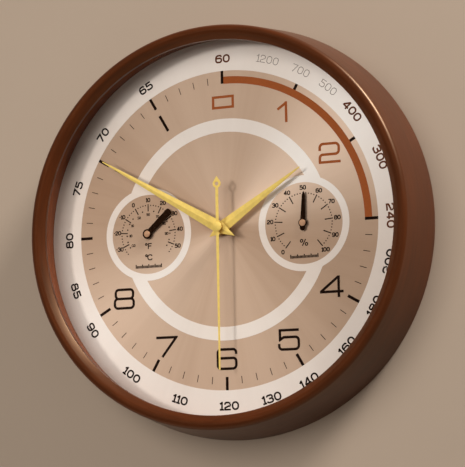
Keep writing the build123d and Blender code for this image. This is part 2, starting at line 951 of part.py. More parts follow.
def collet(tube_radius, base):
    """A sleeve on the end of a tube, with a flange under its hand."""
    bore = tube_radius + seat_gap
    sleeve = bore + collet_wall
    body = disc(sleeve, base - collet_flange, base + collet_height)
    body += disc(sleeve + collet_flange_width, base - collet_flange, base)
    return body - disc(bore, base - collet_flange - overrun, base + collet_height + overrun)


def collet_hole(tube_radius, base):
    radius = tube_radius + seat_gap + collet_wall + seat_gap
    return disc(radius, base - overrun, base + collet_height + overrun)


def hour_hand():
    hand = faceted_hand(hour_hand_length, hour_hand_half_width, hour_hand_tail, hour_hand_base)
    return clockwise(hand - collet_hole(hour_tube_radius, hour_hand_base), hour_hand_angle)


def hour_hand_collet():
    return collet(hour_tube_radius, hour_hand_base)


def minute_hand():
    hand = faceted_hand(minute_hand_length, minute_hand_half_width, minute_hand_tail, minute_hand_base)
    return clockwise(hand - collet_hole(minute_tube_radius, minute_hand_base), minute_hand_angle)


def minute_hand_collet():
    return collet(minute_tube_radius, minute_hand_base)


def second_hand():
    """A slim tapered arm with a pierced, pointed eye on its tail."""
    eye = (0, -(second_hand_tail + second_hand_eye_radius))
    root, tip = second_hand_root_half_width, second_hand_tip_half_width
    low, high = second_hand_base, second_hand_top
    hand = prism([(-tip, second_hand_length), (tip, second_hand_length), (root, 0), (-root, 0)], low, high)
    hand += slab(-root, root, eye[1], 0, low, high)
    hand += disc(second_hand_hub_radius, low, high)
    hand += disc(second_hand_eye_radius, low, high, eye)
    reach = second_hand_eye_radius + second_hand_spike
    touch = second_hand_eye_radius ** 2 / reach
    side = sqrt(second_hand_eye_radius ** 2 - touch ** 2)
    spike = [(-side, eye[1] - touch), (0, eye[1] - reach), (side, eye[1] - touch)]
    hand += prism(spike, low, high)
    hand -= disc(second_hand_eye_hole, low - overrun, high + overrun, eye)
    hand -= disc(second_sleeve_radius() + seat_gap, low - overrun, high + overrun)
    return clockwise(hand, second_hand_angle)


def second_sleeve_radius():
    return train_arbor_radius + seat_gap + second_sleeve_wall


def second_hand_cap():
    """The round button over the arm, with the sleeve that grips the arbor."""
    low = second_hand_base - second_sleeve_length
    cap = domed_button(cap_radius, second_hand_top, cap_top, cap_edge)
    cap += disc(second_sleeve_radius(), low, second_hand_top)
    return cap - disc(train_arbor_radius + seat_gap, low - overrun, second_hand_top)


# Thermometer and hygrometer

def gauge_rear():
    return plate_rear - gauge_depth


def gauge_screw_places(axis):
    reach = gauge_radius + gauge_flange + gauge_ear_reach
    return [(axis[0], axis[1] + reach), (axis[0], axis[1] - reach)]


def coil_levels():
    low = gauge_rear() + gauge_wall + coil_rise
    return low, low + coil_width


def coil_start():
    return gauge_arbor_radius + gauge_collar + running_gap + coil_thickness / 2


def coil_finish():
    return coil_start() + coil_half_turns * coil_pitch / 2


def gauge_case(axis):
    """A cup on the back plate, vented at the rear, with a bearing boss and the coil's post."""
    rear, floor = gauge_rear(), gauge_rear() + gauge_wall
    cup = disc(gauge_radius, rear, plate_rear)
    cup += disc(gauge_radius + gauge_flange, plate_rear - gauge_flange_thickness, plate_rear)
    ears = gauge_screw_places(centre_axis)
    for place in ears:
        cup += disc(gauge_ear_radius, plate_rear - gauge_flange_thickness, plate_rear, place)
    cup -= disc(gauge_radius - gauge_wall, floor, plate_rear + overrun)
    boss = gauge_arbor_radius + gauge_boss_wall
    cup += disc(boss, floor, floor + gauge_boss_height)
    cup -= disc(gauge_arbor_radius + running_gap, floor, floor + gauge_boss_height + overrun)
    low, high = coil_levels()
    post_left = coil_finish() + coil_thickness / 2
    cup += slab(post_left, post_left + coil_post, -coil_post / 2, coil_post / 2, floor, high)
    vent_middle = (boss + gauge_radius - gauge_wall) / 2
    vent_start, vent_end = vent_middle - vent_length / 2, vent_middle + vent_length / 2
    vent = slab(vent_start, vent_end, -vent_width / 2, vent_width / 2, rear - overrun, floor)
    for number in range(vent_count):
        cup -= Rot(0, 0, (number + 1 / 2) * 360 / vent_count) * vent
    for place in ears:
        cup -= disc(screw_radius + seat_gap, rear - overrun, plate_rear + overrun, place)
    return Pos(*axis) * cup


def gauge_coil(axis):
    """A flat strip wound as half circles that grow by half the pitch."""
    low, high = coil_levels()
    half = coil_thickness / 2
    edges = {1: [], -1: []}
    for number in range(coil_half_turns):
        side = 1 - 2 * (number % 2)
        start = coil_start() + number * coil_pitch / 2
        end = start + coil_pitch / 2
        centre = side * (start - end) / 2
        for outward in edges:
            radius = (start + end) / 2 + outward * half
            arc_ends = (centre + side * radius, 0), (centre - side * radius, 0)
            edges[outward].append(ThreePointArc(arc_ends[0], (centre, side * radius), arc_ends[1]))
    inner_end = Line((coil_start() - half, 0), (coil_start() + half, 0))
    outer_end = Line((coil_finish() - half, 0), (coil_finish() + half, 0))
    strip = make_face(edges[1] + edges[-1] + [inner_end, outer_end])
    return Pos(*axis, low) * extrude(strip, high - low)


def gauge_arbor(axis):
    foot = gauge_rear() + gauge_wall + end_play
    low, high = coil_levels()
    shaft = disc(gauge_arbor_radius, foot, needle_top(), axis)
    return shaft + disc(gauge_arbor_radius + gauge_collar, low, high, axis)


def needle_base():
    return dial_front + needle_lift


def needle_top():
    return needle_base() + needle_thickness


def hubbed(blade, hub_radius, axis, angle):
    """A needle from its blade: with its hub, bored for the arbor, turned to its reading and set in place."""
    low, high = needle_base(), needle_top()
    needle = blade + disc(hub_radius, low, high)
    needle -= disc(gauge_arbor_radius + seat_gap, low - overrun, high + overrun)
    return Pos(*axis) * clockwise(needle, angle)


def thermometer_needle():
    """A blade that widens to a square end with round corners."""
    root, tip = thermometer_needle_root_half_width, thermometer_needle_tip_half_width
    length = thermometer_needle_length
    blade = prism([(-root, 0), (root, 0), (tip, length), (-tip, length)], needle_base(), needle_top())
    end_edges = blade.edges().filter_by(Axis.Z).sort_by(Axis.Y)[-2:]
    blade = fillet(end_edges, thermometer_needle_corner)
    return hubbed(blade, thermometer_hub_radius, thermometer_axis, thermometer_angle)


def hygrometer_needle():
    """A tapered blade with a short point, and a short tail with a round end."""
    root, tip = hygrometer_needle_root_half_width, hygrometer_needle_tip_half_width
    length, shoulder = hygrometer_needle_length, hygrometer_needle_length - hygrometer_needle_point
    low, high = needle_base(), needle_top()
    blade = prism([(-root, 0), (root, 0), (tip, shoulder), (0, length), (-tip, shoulder)], low, high)
    tail, round_end = hygrometer_tail_half_width, hygrometer_tail_half_width - hygrometer_needle_tail
    blade += slab(-tail, tail, round_end, 0, low, high) + disc(tail, low, high, (0, round_end))
    return hubbed(blade, hygrometer_hub_radius, hygrometer_axis, hygrometer_angle)


def gauge_pin(axis):
    return Pos(*axis) * domed_button(pin_radius, needle_top(), needle_top() + pin_height, pin_edge)


def gauge_screws():
    seat = plate_rear - gauge_flange_thickness
    one = screw(seat, plate_rear + gauge_screw_grip)
    places = gauge_screw_places(thermometer_axis) + gauge_screw_places(hygrometer_axis)
    return Compound(children=[Pos(*place) * one for place in places])


pieces = {
    "frame_ring": frame_ring(),
    "front_glass": front_glass(),
    "spacer_hoop": spacer_hoop(),
    "dial_plate": dial_plate(),
    "back_plate": back_plate(),
    "back_plate_screws": back_plate_screws(),
    "movement_front_case": movement_front_case(),
    "movement_rear_case": movement_rear_case(),
    "centre_bush": centre_bush(),
    "rubber_washer": rubber_washer(),
    "dial_washer": dial_washer(),
    "fixing_nut": fixing_nut(),
    "seconds_wheel": seconds_wheel(),
    "third_wheel": third_wheel(),
    "centre_wheel": centre_wheel(),
    "motion_wheel": motion_wheel(),
    "hour_wheel": hour_wheel(),
    "intermediate_wheel": intermediate_wheel(),
    "rotor_pinion": rotor_pinion(),
    "rotor_magnet": rotor_magnet(),
    "setting_knob": setting_knob(),
    "stator": stator(),
    "coil_core": coil_core(),
    "coil_bobbin": coil_bobbin(),
    "coil_winding": coil_winding(),
    "circuit_board": circuit_board(),
    "driver_chip": driver_chip(),
    "quartz_crystal": quartz_crystal(),
    "battery": battery(),
    "contact_positive": contact_positive(),
    "contact_negative": contact_negative(),
    "hour_hand": hour_hand(),
    "hour_hand_collet": hour_hand_collet(),
    "minute_hand": minute_hand(),
    "minute_hand_collet": minute_hand_collet(),
    "second_hand": second_hand(),
    "second_hand_cap": second_hand_cap(),
    "thermometer_case": gauge_case(thermometer_axis),
    "thermometer_coil": gauge_coil(thermometer_axis),
    "thermometer_arbor": gauge_arbor(thermometer_axis),
    "thermometer_needle": thermometer_needle(),
    "thermometer_pin": gauge_pin(thermometer_axis),
    "hygrometer_case": gauge_case(hygrometer_axis),
    "hygrometer_coil": gauge_coil(hygrometer_axis),
    "hygrometer_arbor": gauge_arbor(hygrometer_axis),
    "hygrometer_needle": hygrometer_needle(),
    "hygrometer_pin": gauge_pin(hygrometer_axis),
    "gauge_screws": gauge_screws(),
}

upright = Pos(0, 0, -keyhole_place) * Rot(90, 0, 0)
os.makedirs("parts", exist_ok=True)
for name, piece in pieces.items():
    export_step(upright * piece, f"parts/{name}.step")
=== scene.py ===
"""The looks of a round wall clock with a thermometer and a hygrometer on its dial."""

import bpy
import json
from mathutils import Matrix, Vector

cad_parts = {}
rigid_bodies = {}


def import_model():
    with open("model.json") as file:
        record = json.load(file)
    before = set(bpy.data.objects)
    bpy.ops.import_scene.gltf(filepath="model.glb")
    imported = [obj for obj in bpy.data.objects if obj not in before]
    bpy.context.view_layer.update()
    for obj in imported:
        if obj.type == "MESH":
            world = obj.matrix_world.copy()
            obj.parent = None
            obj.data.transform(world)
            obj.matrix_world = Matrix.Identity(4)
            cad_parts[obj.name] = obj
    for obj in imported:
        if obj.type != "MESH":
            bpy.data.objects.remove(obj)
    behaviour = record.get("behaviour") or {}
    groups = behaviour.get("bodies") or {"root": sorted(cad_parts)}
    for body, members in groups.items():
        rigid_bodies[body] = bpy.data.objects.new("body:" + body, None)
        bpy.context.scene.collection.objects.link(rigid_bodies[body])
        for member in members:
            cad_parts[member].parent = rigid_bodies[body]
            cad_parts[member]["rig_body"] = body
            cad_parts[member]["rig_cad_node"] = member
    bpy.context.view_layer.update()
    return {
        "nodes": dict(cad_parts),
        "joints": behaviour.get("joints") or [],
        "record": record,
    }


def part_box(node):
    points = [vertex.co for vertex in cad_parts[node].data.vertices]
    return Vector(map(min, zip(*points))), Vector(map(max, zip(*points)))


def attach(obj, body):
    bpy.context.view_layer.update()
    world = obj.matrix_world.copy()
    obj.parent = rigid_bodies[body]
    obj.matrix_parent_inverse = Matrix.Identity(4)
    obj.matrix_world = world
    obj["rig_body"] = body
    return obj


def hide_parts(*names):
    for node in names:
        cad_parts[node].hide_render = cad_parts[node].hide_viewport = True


bl_info = {
    "name": "Wall clock with gauges",
    "version": (1, 0, 0),
    "blender": (4, 5, 0),
    "location": "3D View > Sidebar > Clock",
    "description": "Dresses the frame of a round wall clock with turned, printed and plated pieces",
    "category": "Object",
}

import json
from cmath import phase, rect
from math import asin, degrees, pi, radians, sin, tan
from typing import NamedTuple

import bpy
from bpy.props import FloatProperty, FloatVectorProperty, IntProperty, PointerProperty
from mathutils import Matrix, Vector

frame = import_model()

# Places that the frame gives: the clock's axis, its gauges, the wall and the dial
MM = 0.001
JOINTS = {joint["name"]: joint for joint in frame["joints"]}
HUB = Vector(JOINTS["second_hand_turn"]["pos_m"])
THERMOMETER = Vector(JOINTS["thermometer_needle_swing"]["pos_m"])
HYGROMETER = Vector(JOINTS["hygrometer_needle_swing"]["pos_m"])
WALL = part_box("frame_ring")[1].y
DIAL_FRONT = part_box("dial_plate")[0].y
GLASS_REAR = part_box("front_glass")[1].y
GLASS_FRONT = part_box("front_glass")[0].y
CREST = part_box("frame_ring")[0].y
CASE_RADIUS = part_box("frame_ring")[1].x
HOOP_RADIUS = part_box("spacer_hoop")[1].x

# The dial's print, as shares of the radius of the hour ticks' outer ends
TICK_INNER_SHARE = 0.918
ARC_INNER_SHARE = 0.916
ARC_OUTER_SHARE = 0.962
HOUR_TICK_WIDTH_SHARE = 0.018
MINUTE_TICK_INNER_SHARE = 0.92
MINUTE_TICK_OUTER_SHARE = 0.965
MINUTE_TICK_WIDTH_SHARE = 0.0042
HOUR_BAR_SHARES = (0.751, 0.868)
INNER_BAND_SHARES = (0.61, 0.694)
GAUGE_RING_SHARES = (0.2515, 0.295)
NUMERAL_RADIUS_SHARE = 0.81
NUMERAL_HEIGHT_SHARE = 0.132
NUMERAL_PEN_SHARE = 0.122
OUTER_NUMBER_HEIGHT_SHARE = 0.053
THIN_NUMBER_RADIUS_SHARE = 1.085

# Hours and minutes that the ticks, the copper arc and the spare bars stand at
ARC_HOURS = (1, 2, 3)
BAR_HOURS = (10, 11)
TICKED_MINUTES = range(16, 60)

# Layers of print: the middle of the second one, and the height of what cuts through one
SECOND_LAYER = 3 / 2
CUTTER_LAYERS = 3

# Angles between which the outer numbers stand with their heads inwards
LOWER_HALF = (90, 269)

# Outer ring of numbers: the clockwise angle from twelve, and the radius as a share of the tick circle
BROWN_NUMBERS = {"60": (0.3, 1.078), "400": (52.1, 1.083), "300": (70.3, 1.087), "240": (89.6, 1.079)}
DARK_NUMBERS = {
    "200": (104.3, 1.091), "180": (118.9, 1.095), "160": (134.2, 1.091), "140": (150.8, 1.098),
    "130": (164.6, 1.096), "120": (179.4, 1.096), "110": (196.9, 1.096), "100": (216.3, 1.096),
    "90": (237.3, 1.093), "85": (252.3, 1.091), "80": (269.7, 1.083), "75": (287.8, 1.072),
    "70": (308.4, 1.068), "65": (330.7, 1.08),
}
THIN_NUMBERS = {
    "1200": (16.6, THIN_NUMBER_RADIUS_SHARE), "700": (29, THIN_NUMBER_RADIUS_SHARE),
    "500": (40.4, THIN_NUMBER_RADIUS_SHARE),
}

# Hour numerals as pen strokes, open or closed: corners in shares of the height, some with a rounding
COPPER_NUMERALS = {"0": 0, "1": 30, "2": 60}
DARK_NUMERALS = {"4": 120, "5": 150, "6": 180, "7": 210, "8": 240}
HOUR_STROKES = {
    "0": [([(-0.48, -0.33), (0.53, -0.33), (0.53, 0.18), (-0.48, 0.18)], True)],
    "1": [([(0.15, 0.48), (0.15, -0.51)], False), ([(0.15, 0.41), (-0.28, 0.125)], False)],
    "2": [([
        (-0.48, 0.23), (-0.48, 0.54, 0.17), (0.45, 0.54, 0.18), (0.45, 0.04, 0.17), (-0.48, 0.04, 0.15),
        (-0.48, -0.32), (0.53, -0.32),
    ], False)],
    "4": [
        ([(0.28, 0.54), (0.28, -0.45)], False),
        ([(-0.63, -0.185), (0.51, -0.185)], False),
        ([(-0.585, -0.17), (0.265, 0.495)], False),
    ],
    "5": [([
        (0.535, 0.405), (-0.395, 0.405), (-0.395, -0.035), (-0.22, 0.08, 0.1), (0.525, 0.08, 0.17),
        (0.525, -0.48, 0.17), (-0.44, -0.48, 0.16), (-0.44, -0.215),
    ], False)],
    "6": [
        ([
            (0.475, 0.235), (0.475, 0.465, 0.16), (-0.455, 0.465, 0.17), (-0.455, -0.435, 0.17),
            (0.475, -0.435, 0.17), (0.475, 0.055, 0.16), (0, 0.055),
        ], False),
        ([(0.03, 0.055), (-0.455, 0.055)], False),
    ],
    "7": [([(-0.545, 0.33), (0.5, 0.33), (-0.235, -0.59)], False)],
    "8": [
        ([
            (-0.465, -0.415, 0.165), (0.535, -0.415, 0.165), (0.535, 0.04, 0.165), (-0.465, 0.04, 0.165),
        ], True),
        ([(-0.415, 0.04, 0.16), (0.505, 0.04, 0.16), (0.505, 0.475, 0.16), (-0.415, 0.475, 0.16)], True),
    ],
}

# Round figures and unit signs of the outer ring and the gauges, drawn the same way
FIGURE_STROKES = {
    "0": [([(-0.35, -0.41, 0.34), (0.35, -0.41, 0.34), (0.35, 0.41, 0.34), (-0.35, 0.41, 0.34)], True)],
    "1": [
        ([(0.06, 0.5), (0.06, -0.42)], False),
        ([(0.06, 0.4), (-0.2, 0.22)], False),
        ([(-0.2, -0.42), (0.3, -0.42)], False),
    ],
    "2": [([
        (-0.33, 0.16), (-0.33, 0.41, 0.22), (0.33, 0.41, 0.28), (0.33, 0.06, 0.16), (-0.33, -0.2, 0.1),
        (-0.33, -0.41), (0.4, -0.41),
    ], False)],
    "3": [
        ([
            (-0.34, 0.24), (-0.34, 0.41, 0.15), (0.32, 0.41, 0.19), (0.32, 0.03, 0.18), (-0.12, 0.03),
        ], False),
        ([
            (-0.12, 0.03), (0.35, 0.03, 0.2), (0.35, -0.41, 0.22), (-0.35, -0.41, 0.16), (-0.35, -0.23),
        ], False),
    ],
    "4": [
        ([(0.18, 0.5), (0.18, -0.5)], False),
        ([(-0.42, -0.22), (0.42, -0.22)], False),
        ([(-0.36, -0.2), (0.15, 0.43)], False),
    ],
    "5": [([
        (0.34, 0.41), (-0.29, 0.41), (-0.29, 0.08), (0.35, 0.08, 0.22), (0.35, -0.41, 0.24),
        (-0.35, -0.41, 0.16), (-0.35, -0.23),
    ], False)],
    "6": [
        ([
            (0.32, 0.23), (0.32, 0.41, 0.16), (-0.35, 0.41, 0.32), (-0.35, -0.41, 0.26),
            (0.35, -0.41, 0.24), (0.35, 0.07, 0.22), (-0.1, 0.07),
        ], False),
        ([(0, 0.07), (-0.35, 0.07)], False),
    ],
    "7": [([(-0.38, 0.41), (0.36, 0.41), (-0.12, -0.48)], False)],
    "8": [
        ([(-0.36, -0.41, 0.22), (0.36, -0.41, 0.22), (0.36, 0.05, 0.22), (-0.36, 0.05, 0.22)], True),
        ([(-0.31, 0.05, 0.17), (0.31, 0.05, 0.17), (0.31, 0.41, 0.17), (-0.31, 0.41, 0.17)], True),
    ],
    "9": [
        ([
            (-0.32, -0.23), (-0.32, -0.41, 0.16), (0.35, -0.41, 0.32), (0.35, 0.41, 0.26),
            (-0.35, 0.41, 0.24), (-0.35, -0.07, 0.22), (0.1, -0.07),
        ], False),
        ([(0, -0.07), (0.35, -0.07)], False),
    ],
    "-": [([(-0.18, 0), (0.18, 0)], False)],
    "°": [([(-0.1, 0.18, 0.14), (0.2, 0.18, 0.14), (0.2, 0.48, 0.14), (-0.1, 0.48, 0.14)], True)],
    "F": [([(-0.3, -0.5), (-0.3, 0.43), (0.38, 0.43)], False), ([(-0.3, 0.02), (0.28, 0.02)], False)],
    "C": [([
        (0.38, 0.2), (0.38, 0.43, 0.2), (-0.4, 0.43, 0.36), (-0.4, -0.43, 0.36), (0.38, -0.43, 0.2),
        (0.38, -0.2),
    ], False)],
    "%": [
        ([(-0.58, 0.06, 0.18), (-0.2, 0.06, 0.18), (-0.2, 0.46, 0.18), (-0.58, 0.46, 0.18)], True),
        ([(0.2, -0.46, 0.18), (0.58, -0.46, 0.18), (0.58, -0.06, 0.18), (0.2, -0.06, 0.18)], True),
        ([(0.27, 0.5), (-0.27, -0.5)], False),
    ],
}
FIGURE_PEN_SHARE = 0.2
THIN_PEN_SHARE = 0.07
THIN_WIDTH_SHARE = 0.85
FULL_ADVANCE_SHARE = 0.98
ADVANCE_SHARES = {"1": 0.54, "-": 0.56, "°": 0.5}
MITRE_LIMIT = 2.0

# Lines of the gauges, and the ruled row of ticks below each scale, as shares of the tick circle's radius
TICK_LINE_SHARE = 0.0066
RULE_TICKS = 10
RULE_LONG_STEP = 5
RULE_PITCH_SHARE = 0.0088
RULE_LONG_SHARES = (0.19, 0.214)
RULE_SHORT_SHARES = (0.198, 0.214)

# Readings from one tick to the next, and the half span between ticks that is free for the other scale's dots
LABEL_STEP = 10
FREE_HALF_SPAN = 4

# Unit signs: height and drop as shares of the tick circle's radius, and pen as a share of the height
DEGREE_SIGN_HEIGHT_SHARE = 0.036
DEGREE_SIGN_PEN_SHARE = 0.19
DEGREE_SIGN_DROP_SHARES = {"°F": 0.0755, "°C": 0.147}
PERCENT_SIGN_HEIGHT_SHARE = 0.04
PERCENT_SIGN_PEN_SHARE = 0.17
PERCENT_SIGN_DROP_SHARES = {"%": 0.119}

# Painted sheen lobes: angle, sharpness, share and lean of each pair; sunray brushing streaks: scale and
# share
PAINTED_SHEEN_LOBES = ((55, 5.0, 0.64, 0.16), (350, 2.0, 0.28, 0.0))
SUNRAY_STREAKS = ((3.2, 0.1), (34.0, 0.03))

# Part of a noise's range that a finish uses, and the depth of the finest relief
NOISE_SPAN = (0.3, 0.7)
FINE_RELIEF = 0.01 * MM

# Small roundings and edges, the gap that merges corners, and the angle that still counts as flat
FOOT_ROUND = 0.3 * MM
HOOP_ROUND = 0.3 * MM
GLASS_EDGE = 0.1 * MM
CAP_ROUND = 0.12 * MM
NEEDLE_ROUND = 0.08 * MM
SCREW_ROUND = 0.1 * MM
MERGE_GAP = MM / 2000
FLAT_ANGLE = 0.5

# Battery: where its pale band starts and where its ends are bare, as shares of its length
BAND_START_SHARE = 0.74
BARE_END_SHARES = (0.015, 0.955)

# Steps of round outlines
ARC_STEPS = 8
CIRCLE_STEPS = 192
DOT_STEPS = 8

# Lamps: place from the clock's middle in metres, power in watts, radius or width in metres, and colour
WARM_WHITE = (1, 0.97, 0.94)
SPOTS = {
    "key": ((-0.95, -1.9, 0.22), 58.0, 0.14, WARM_WHITE),
    "rim": ((1.85, -0.5, 2.3), 530.0, 0.45, (1, 0.95, 0.9)),
}
SOFTBOXES = {
    "fill": ((-0.45, -2.0, 0.5), 23.0, 1.3, WARM_WHITE),
    "rear": ((0.6, 1.6, 0.7), 40.0, 1.2, (1, 1, 1)),
}
SPOT_CONE = 24
SPOT_BLEND = 0.3
ROOM_COLOUR = (1, 0.94, 0.88, 1)
ROOM_STRENGTH = 0.15

# Backdrop, in metres
BACKDROP_SPAN = 8
WALL_GAP = 0.2 * MM
FLOOR_HEIGHT = -1.9

# Camera: place from the hub on the dial's front in metres, turn in degrees, lens and sensor in millimetres
CAMERA_RIGHT = 0.4823
CAMERA_AHEAD = 1.1475
CAMERA_BELOW = 0.1663
CAMERA_TURN = (97.4529, 1.0199, 22.678)
LENS_LENGTH = 135.6
SENSOR_WIDTH = 36


class Scale(NamedTuple):
    """A gauge's scale, with arc in degrees for one unit and top the reading at its top."""

    arc: float
    top: int
    marks: range
    labels: range
    dot_share: float
    dot_radius_share: float
    number_radius_share: float
    height_share: float
    pen_share: float
    width_share: float
    tick_shares: tuple = ()

    def angle(self, reading):
        return (reading - self.top) * self.arc


# Scales of the gauges: places and heights are shares of the tick circle, pens and widths of the height
CELSIUS = Scale(
    arc=2.82, top=10, marks=range(-36, 57, 2), labels=range(-30, 51, 10), dot_share=0.0042,
    dot_radius_share=0.185, number_radius_share=0.219, height_share=0.0265, pen_share=0.23,
    width_share=0.78, tick_shares=(0.146, 0.192),
)
FAHRENHEIT = Scale(
    arc=1.52, top=50, marks=range(-30, 131, 10), labels=range(-30, 111, 20), dot_share=0.005,
    dot_radius_share=0.149, number_radius_share=0.126, height_share=0.0165, pen_share=0.24,
    width_share=0.76,
)
HUMIDITY = Scale(
    arc=2.82, top=50, marks=range(0, 101, 2), labels=range(0, 101, 10), dot_share=0.0042,
    dot_radius_share=0.1845, number_radius_share=0.2195, height_share=0.027, pen_share=0.23,
    width_share=0.8, tick_shares=(0.138, 0.191),
)


def linear(red, green, blue):
    """A colour for a shader from the 0 to 255 values that a screen shows."""
    shares = [value / 255 for value in (red, green, blue)]
    return tuple(s / 12.92 if s <= 0.04045 else ((s + 0.055) / 1.055) ** 2.4 for s in shares)


def length_property(name, description, default):
    return FloatProperty(
        name=name, description=description, default=default, min=0, unit="LENGTH", precision=5
    )


def colour_property(name, description, default):
    return FloatVectorProperty(
        name=name, description=description, default=default, size=3, min=0, max=1, subtype="COLOR"
    )


class ClockSizes(bpy.types.PropertyGroup):
    """Sizes of the dressed clock that a user would change"""

    tick_circle: length_property("Tick circle", "Radius of the hour ticks' outer ends", 115 * MM)
    print_thickness: length_property("Print thickness", "Height of one layer of print", 0.06 * MM)
    crest_outer: length_property(
        "Crest outer radius", "Where the case's wall reaches the crest's height", 142.8 * MM
    )
    lip_radius: length_property("Lip radius", "Opening in the lip before the glass", 133 * MM)
    lip_rise: length_property("Lip thickness", "Thickness of the lip before the glass", 2.5 * MM)
    ring_bore: length_property("Ring bore", "Radius of the bore that takes the hoop and the glass", 140 * MM)
    rear_bore: length_property("Rear bore", "Radius of the bore that takes the plates", 145 * MM)
    dial_opening: length_property("Dial opening", "Radius of the hoop's inner wall", 138 * MM)
    foot_chamfer: length_property("Foot chamfer", "Chamfer of the case at the wall", 0.8 * MM)
    crest_round: length_property("Crest rounding", "Rounding of the bead along the crest", 4 * MM)
    lip_round: length_property("Lip rounding", "Rounding of the lip's edge", 0.8 * MM)
    edge_round: length_property("Edge rounding", "Rounding of moulded edges on the back", 0.25 * MM)
    turning_steps: IntProperty(
        name="Turning steps", description="Steps round a turned piece", default=256, min=24, max=512
    )


class ClockColours(bpy.types.PropertyGroup):
    """Colours of the dressed clock that a user would change"""

    frame_light: colour_property("Frame light", "Lighter tone of the frame's lacquer", linear(76, 33, 10))
    frame_dark: colour_property("Frame dark", "Darker tone of the frame's lacquer", linear(57, 23, 6))
    hoop_light: colour_property("Hoop light", "Lighter tone of the hoop's lacquer", linear(118, 60, 28))
    hoop_dark: colour_property("Hoop dark", "Darker tone of the hoop's lacquer", linear(100, 49, 20))
    # Light and dark tones of the dial and of the white print: painted sheen lobes mix them, light where a
    # lobe paints a highlight
    dial_light: colour_property("Dial light", "Bright rays of the dial", linear(232, 205, 182))
    dial_dark: colour_property("Dial dark", "Dull rays of the dial", linear(164, 135, 111))
    white_light: colour_property("White light", "White print along the bright rays", linear(248, 242, 235))
    white_dark: colour_property("White dark", "White print across the dull rays", linear(213, 199, 187))
    dark_print: colour_property("Dark print", "Figures and ticks of the dial", linear(26, 13, 7))
    brown_print: colour_property("Brown print", "First numbers of the outer ring", linear(92, 48, 24))
    copper_print: colour_property("Copper print", "First quarter's arc and figures", linear(153, 82, 42))
    grey_print: colour_property("Grey print", "Thin figures of the outer ring", linear(120, 108, 98))
    gold: colour_property("Gold", "Plating of the hands", linear(242, 210, 112))
    rose_gold: colour_property("Rose gold", "Plating of the gauges' pins", linear(226, 176, 138))
    needle: colour_property("Needle", "Lacquer of the gauges' needles", linear(24, 11, 4))
    moulding: colour_property("Moulding", "Black plastic of the back", linear(38, 37, 37))
    wall: colour_property("Wall", "Backdrop behind the clock", linear(188, 169, 150))


# Steps that every piece shares

def deselect():
    if bpy.context.object and bpy.context.object.mode != "OBJECT":
        bpy.ops.object.mode_set(mode="OBJECT")
    bpy.ops.object.select_all(action="DESELECT")


def pick(*pieces):
    """Selects only these pieces, the first of them active."""
    deselect()
    for piece in pieces:
        piece.select_set(True)
    bpy.context.view_layer.objects.active = pieces[0]
    return pieces[0]


def edit(piece):
    pick(piece)
    bpy.ops.object.mode_set(mode="EDIT")
    bpy.ops.mesh.select_all(action="SELECT")


def close_up(piece):
    """Merges the double corners of a mesh and turns its faces outwards."""
    edit(piece)
    bpy.ops.mesh.remove_doubles(threshold=MERGE_GAP)
    bpy.ops.mesh.normals_make_consistent(inside=False)
    bpy.ops.object.mode_set(mode="OBJECT")


def apply_modifier(piece, kind, **settings):
    pick(piece)
    modifier = piece.modifiers.new(kind.title(), kind)
    for name, value in settings.items():
        setattr(modifier, name, value)
    bpy.ops.object.modifier_apply(modifier=modifier.name)


def combine(piece, other, operation):
    """Adds or cuts another closed piece, which is used up."""
    apply_modifier(piece, "BOOLEAN", operation=operation, object=other, solver="EXACT")
    bpy.data.objects.remove(other)
    return piece


def joined(name, pieces):
    pick(*pieces)
    if len(pieces) > 1:
        bpy.ops.object.join()
    piece = bpy.context.object
    piece.name = name
    piece.data.name = name
    return piece


def smooth(piece, angle=35):
    pick(piece)
    bpy.ops.object.shade_smooth_by_angle(angle=radians(angle))
    return piece


def settle(piece, body, material, slot, *nodes):
    """Gives a finished piece its material and its body, and hides the nodes that it stands for; slot is not
    used.
    """
    piece.data.materials.clear()
    piece.data.materials.append(material)
    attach(piece, body)
    if nodes:
        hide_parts(*nodes)
    return piece


def body_of(node):
    return frame["nodes"][node]["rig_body"]


def slot_of(node):
    return next(part["material_slot"] for part in frame["record"]["subparts"] if part["node"] == node)


def dress(material, *nodes):
    """Gives CAD nodes that keep their own shape a better material."""
    for node in nodes:
        slots = frame["nodes"][node].data.materials
        slots.clear()
        slots.append(material)


def softened(node, material, rounding=0, angle=30):
    """A copy of a CAD node with merged corners, rounded edges and smooth round faces, in its place."""
    pick(frame["nodes"][node])
    bpy.ops.object.duplicate()
    piece = bpy.context.object
    piece.parent = None
    piece.name = node + "_finish"
    piece.data.name = piece.name
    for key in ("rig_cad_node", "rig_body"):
        del piece[key]
    edit(piece)
    bpy.ops.mesh.remove_doubles(threshold=MERGE_GAP)
    bpy.ops.mesh.dissolve_limited(angle_limit=radians(FLAT_ANGLE))
    bpy.ops.object.mode_set(mode="OBJECT")
    if rounding:
        apply_modifier(
            piece, "BEVEL", width=rounding, segments=2, limit_method="ANGLE", angle_limit=radians(angle),
            harden_normals=False, use_clamp_overlap=True,
        )
    smooth(piece, angle)
    return settle(piece, body_of(node), material, slot_of(node), node)


# Flat drawing in the dial's plane: complex numbers, real to the right and imaginary upwards

def dial_point(radius, angle):
    """A point by its radius and its clockwise angle from twelve, in degrees."""
    return rect(radius, pi / 2 - radians(angle))


def crossed(one, other):
    """Cross product of two directions in the drawing plane."""
    return one.real * other.imag - one.imag * other.real


def circle(radius, centre=0, steps=CIRCLE_STEPS):
    return [centre + rect(radius, 2 * pi * step / steps) for step in range(steps)]


def bar(inner, outer, angle, width, centre=0):
    """Outline of a straight tick between two radii."""
    along = dial_point(1, angle)
    across = along * 1j * width / 2
    near, far = inner * along, outer * along
    return [centre + corner for corner in (near + across, far + across, far - across, near - across)]


def arc_band(inner, outer, start, end):
    steps = int(abs(end - start))
    angles = [start + (end - start) * step / steps for step in range(steps + 1)]
    return [dial_point(outer, a) for a in angles] + [dial_point(inner, a) for a in reversed(angles)]


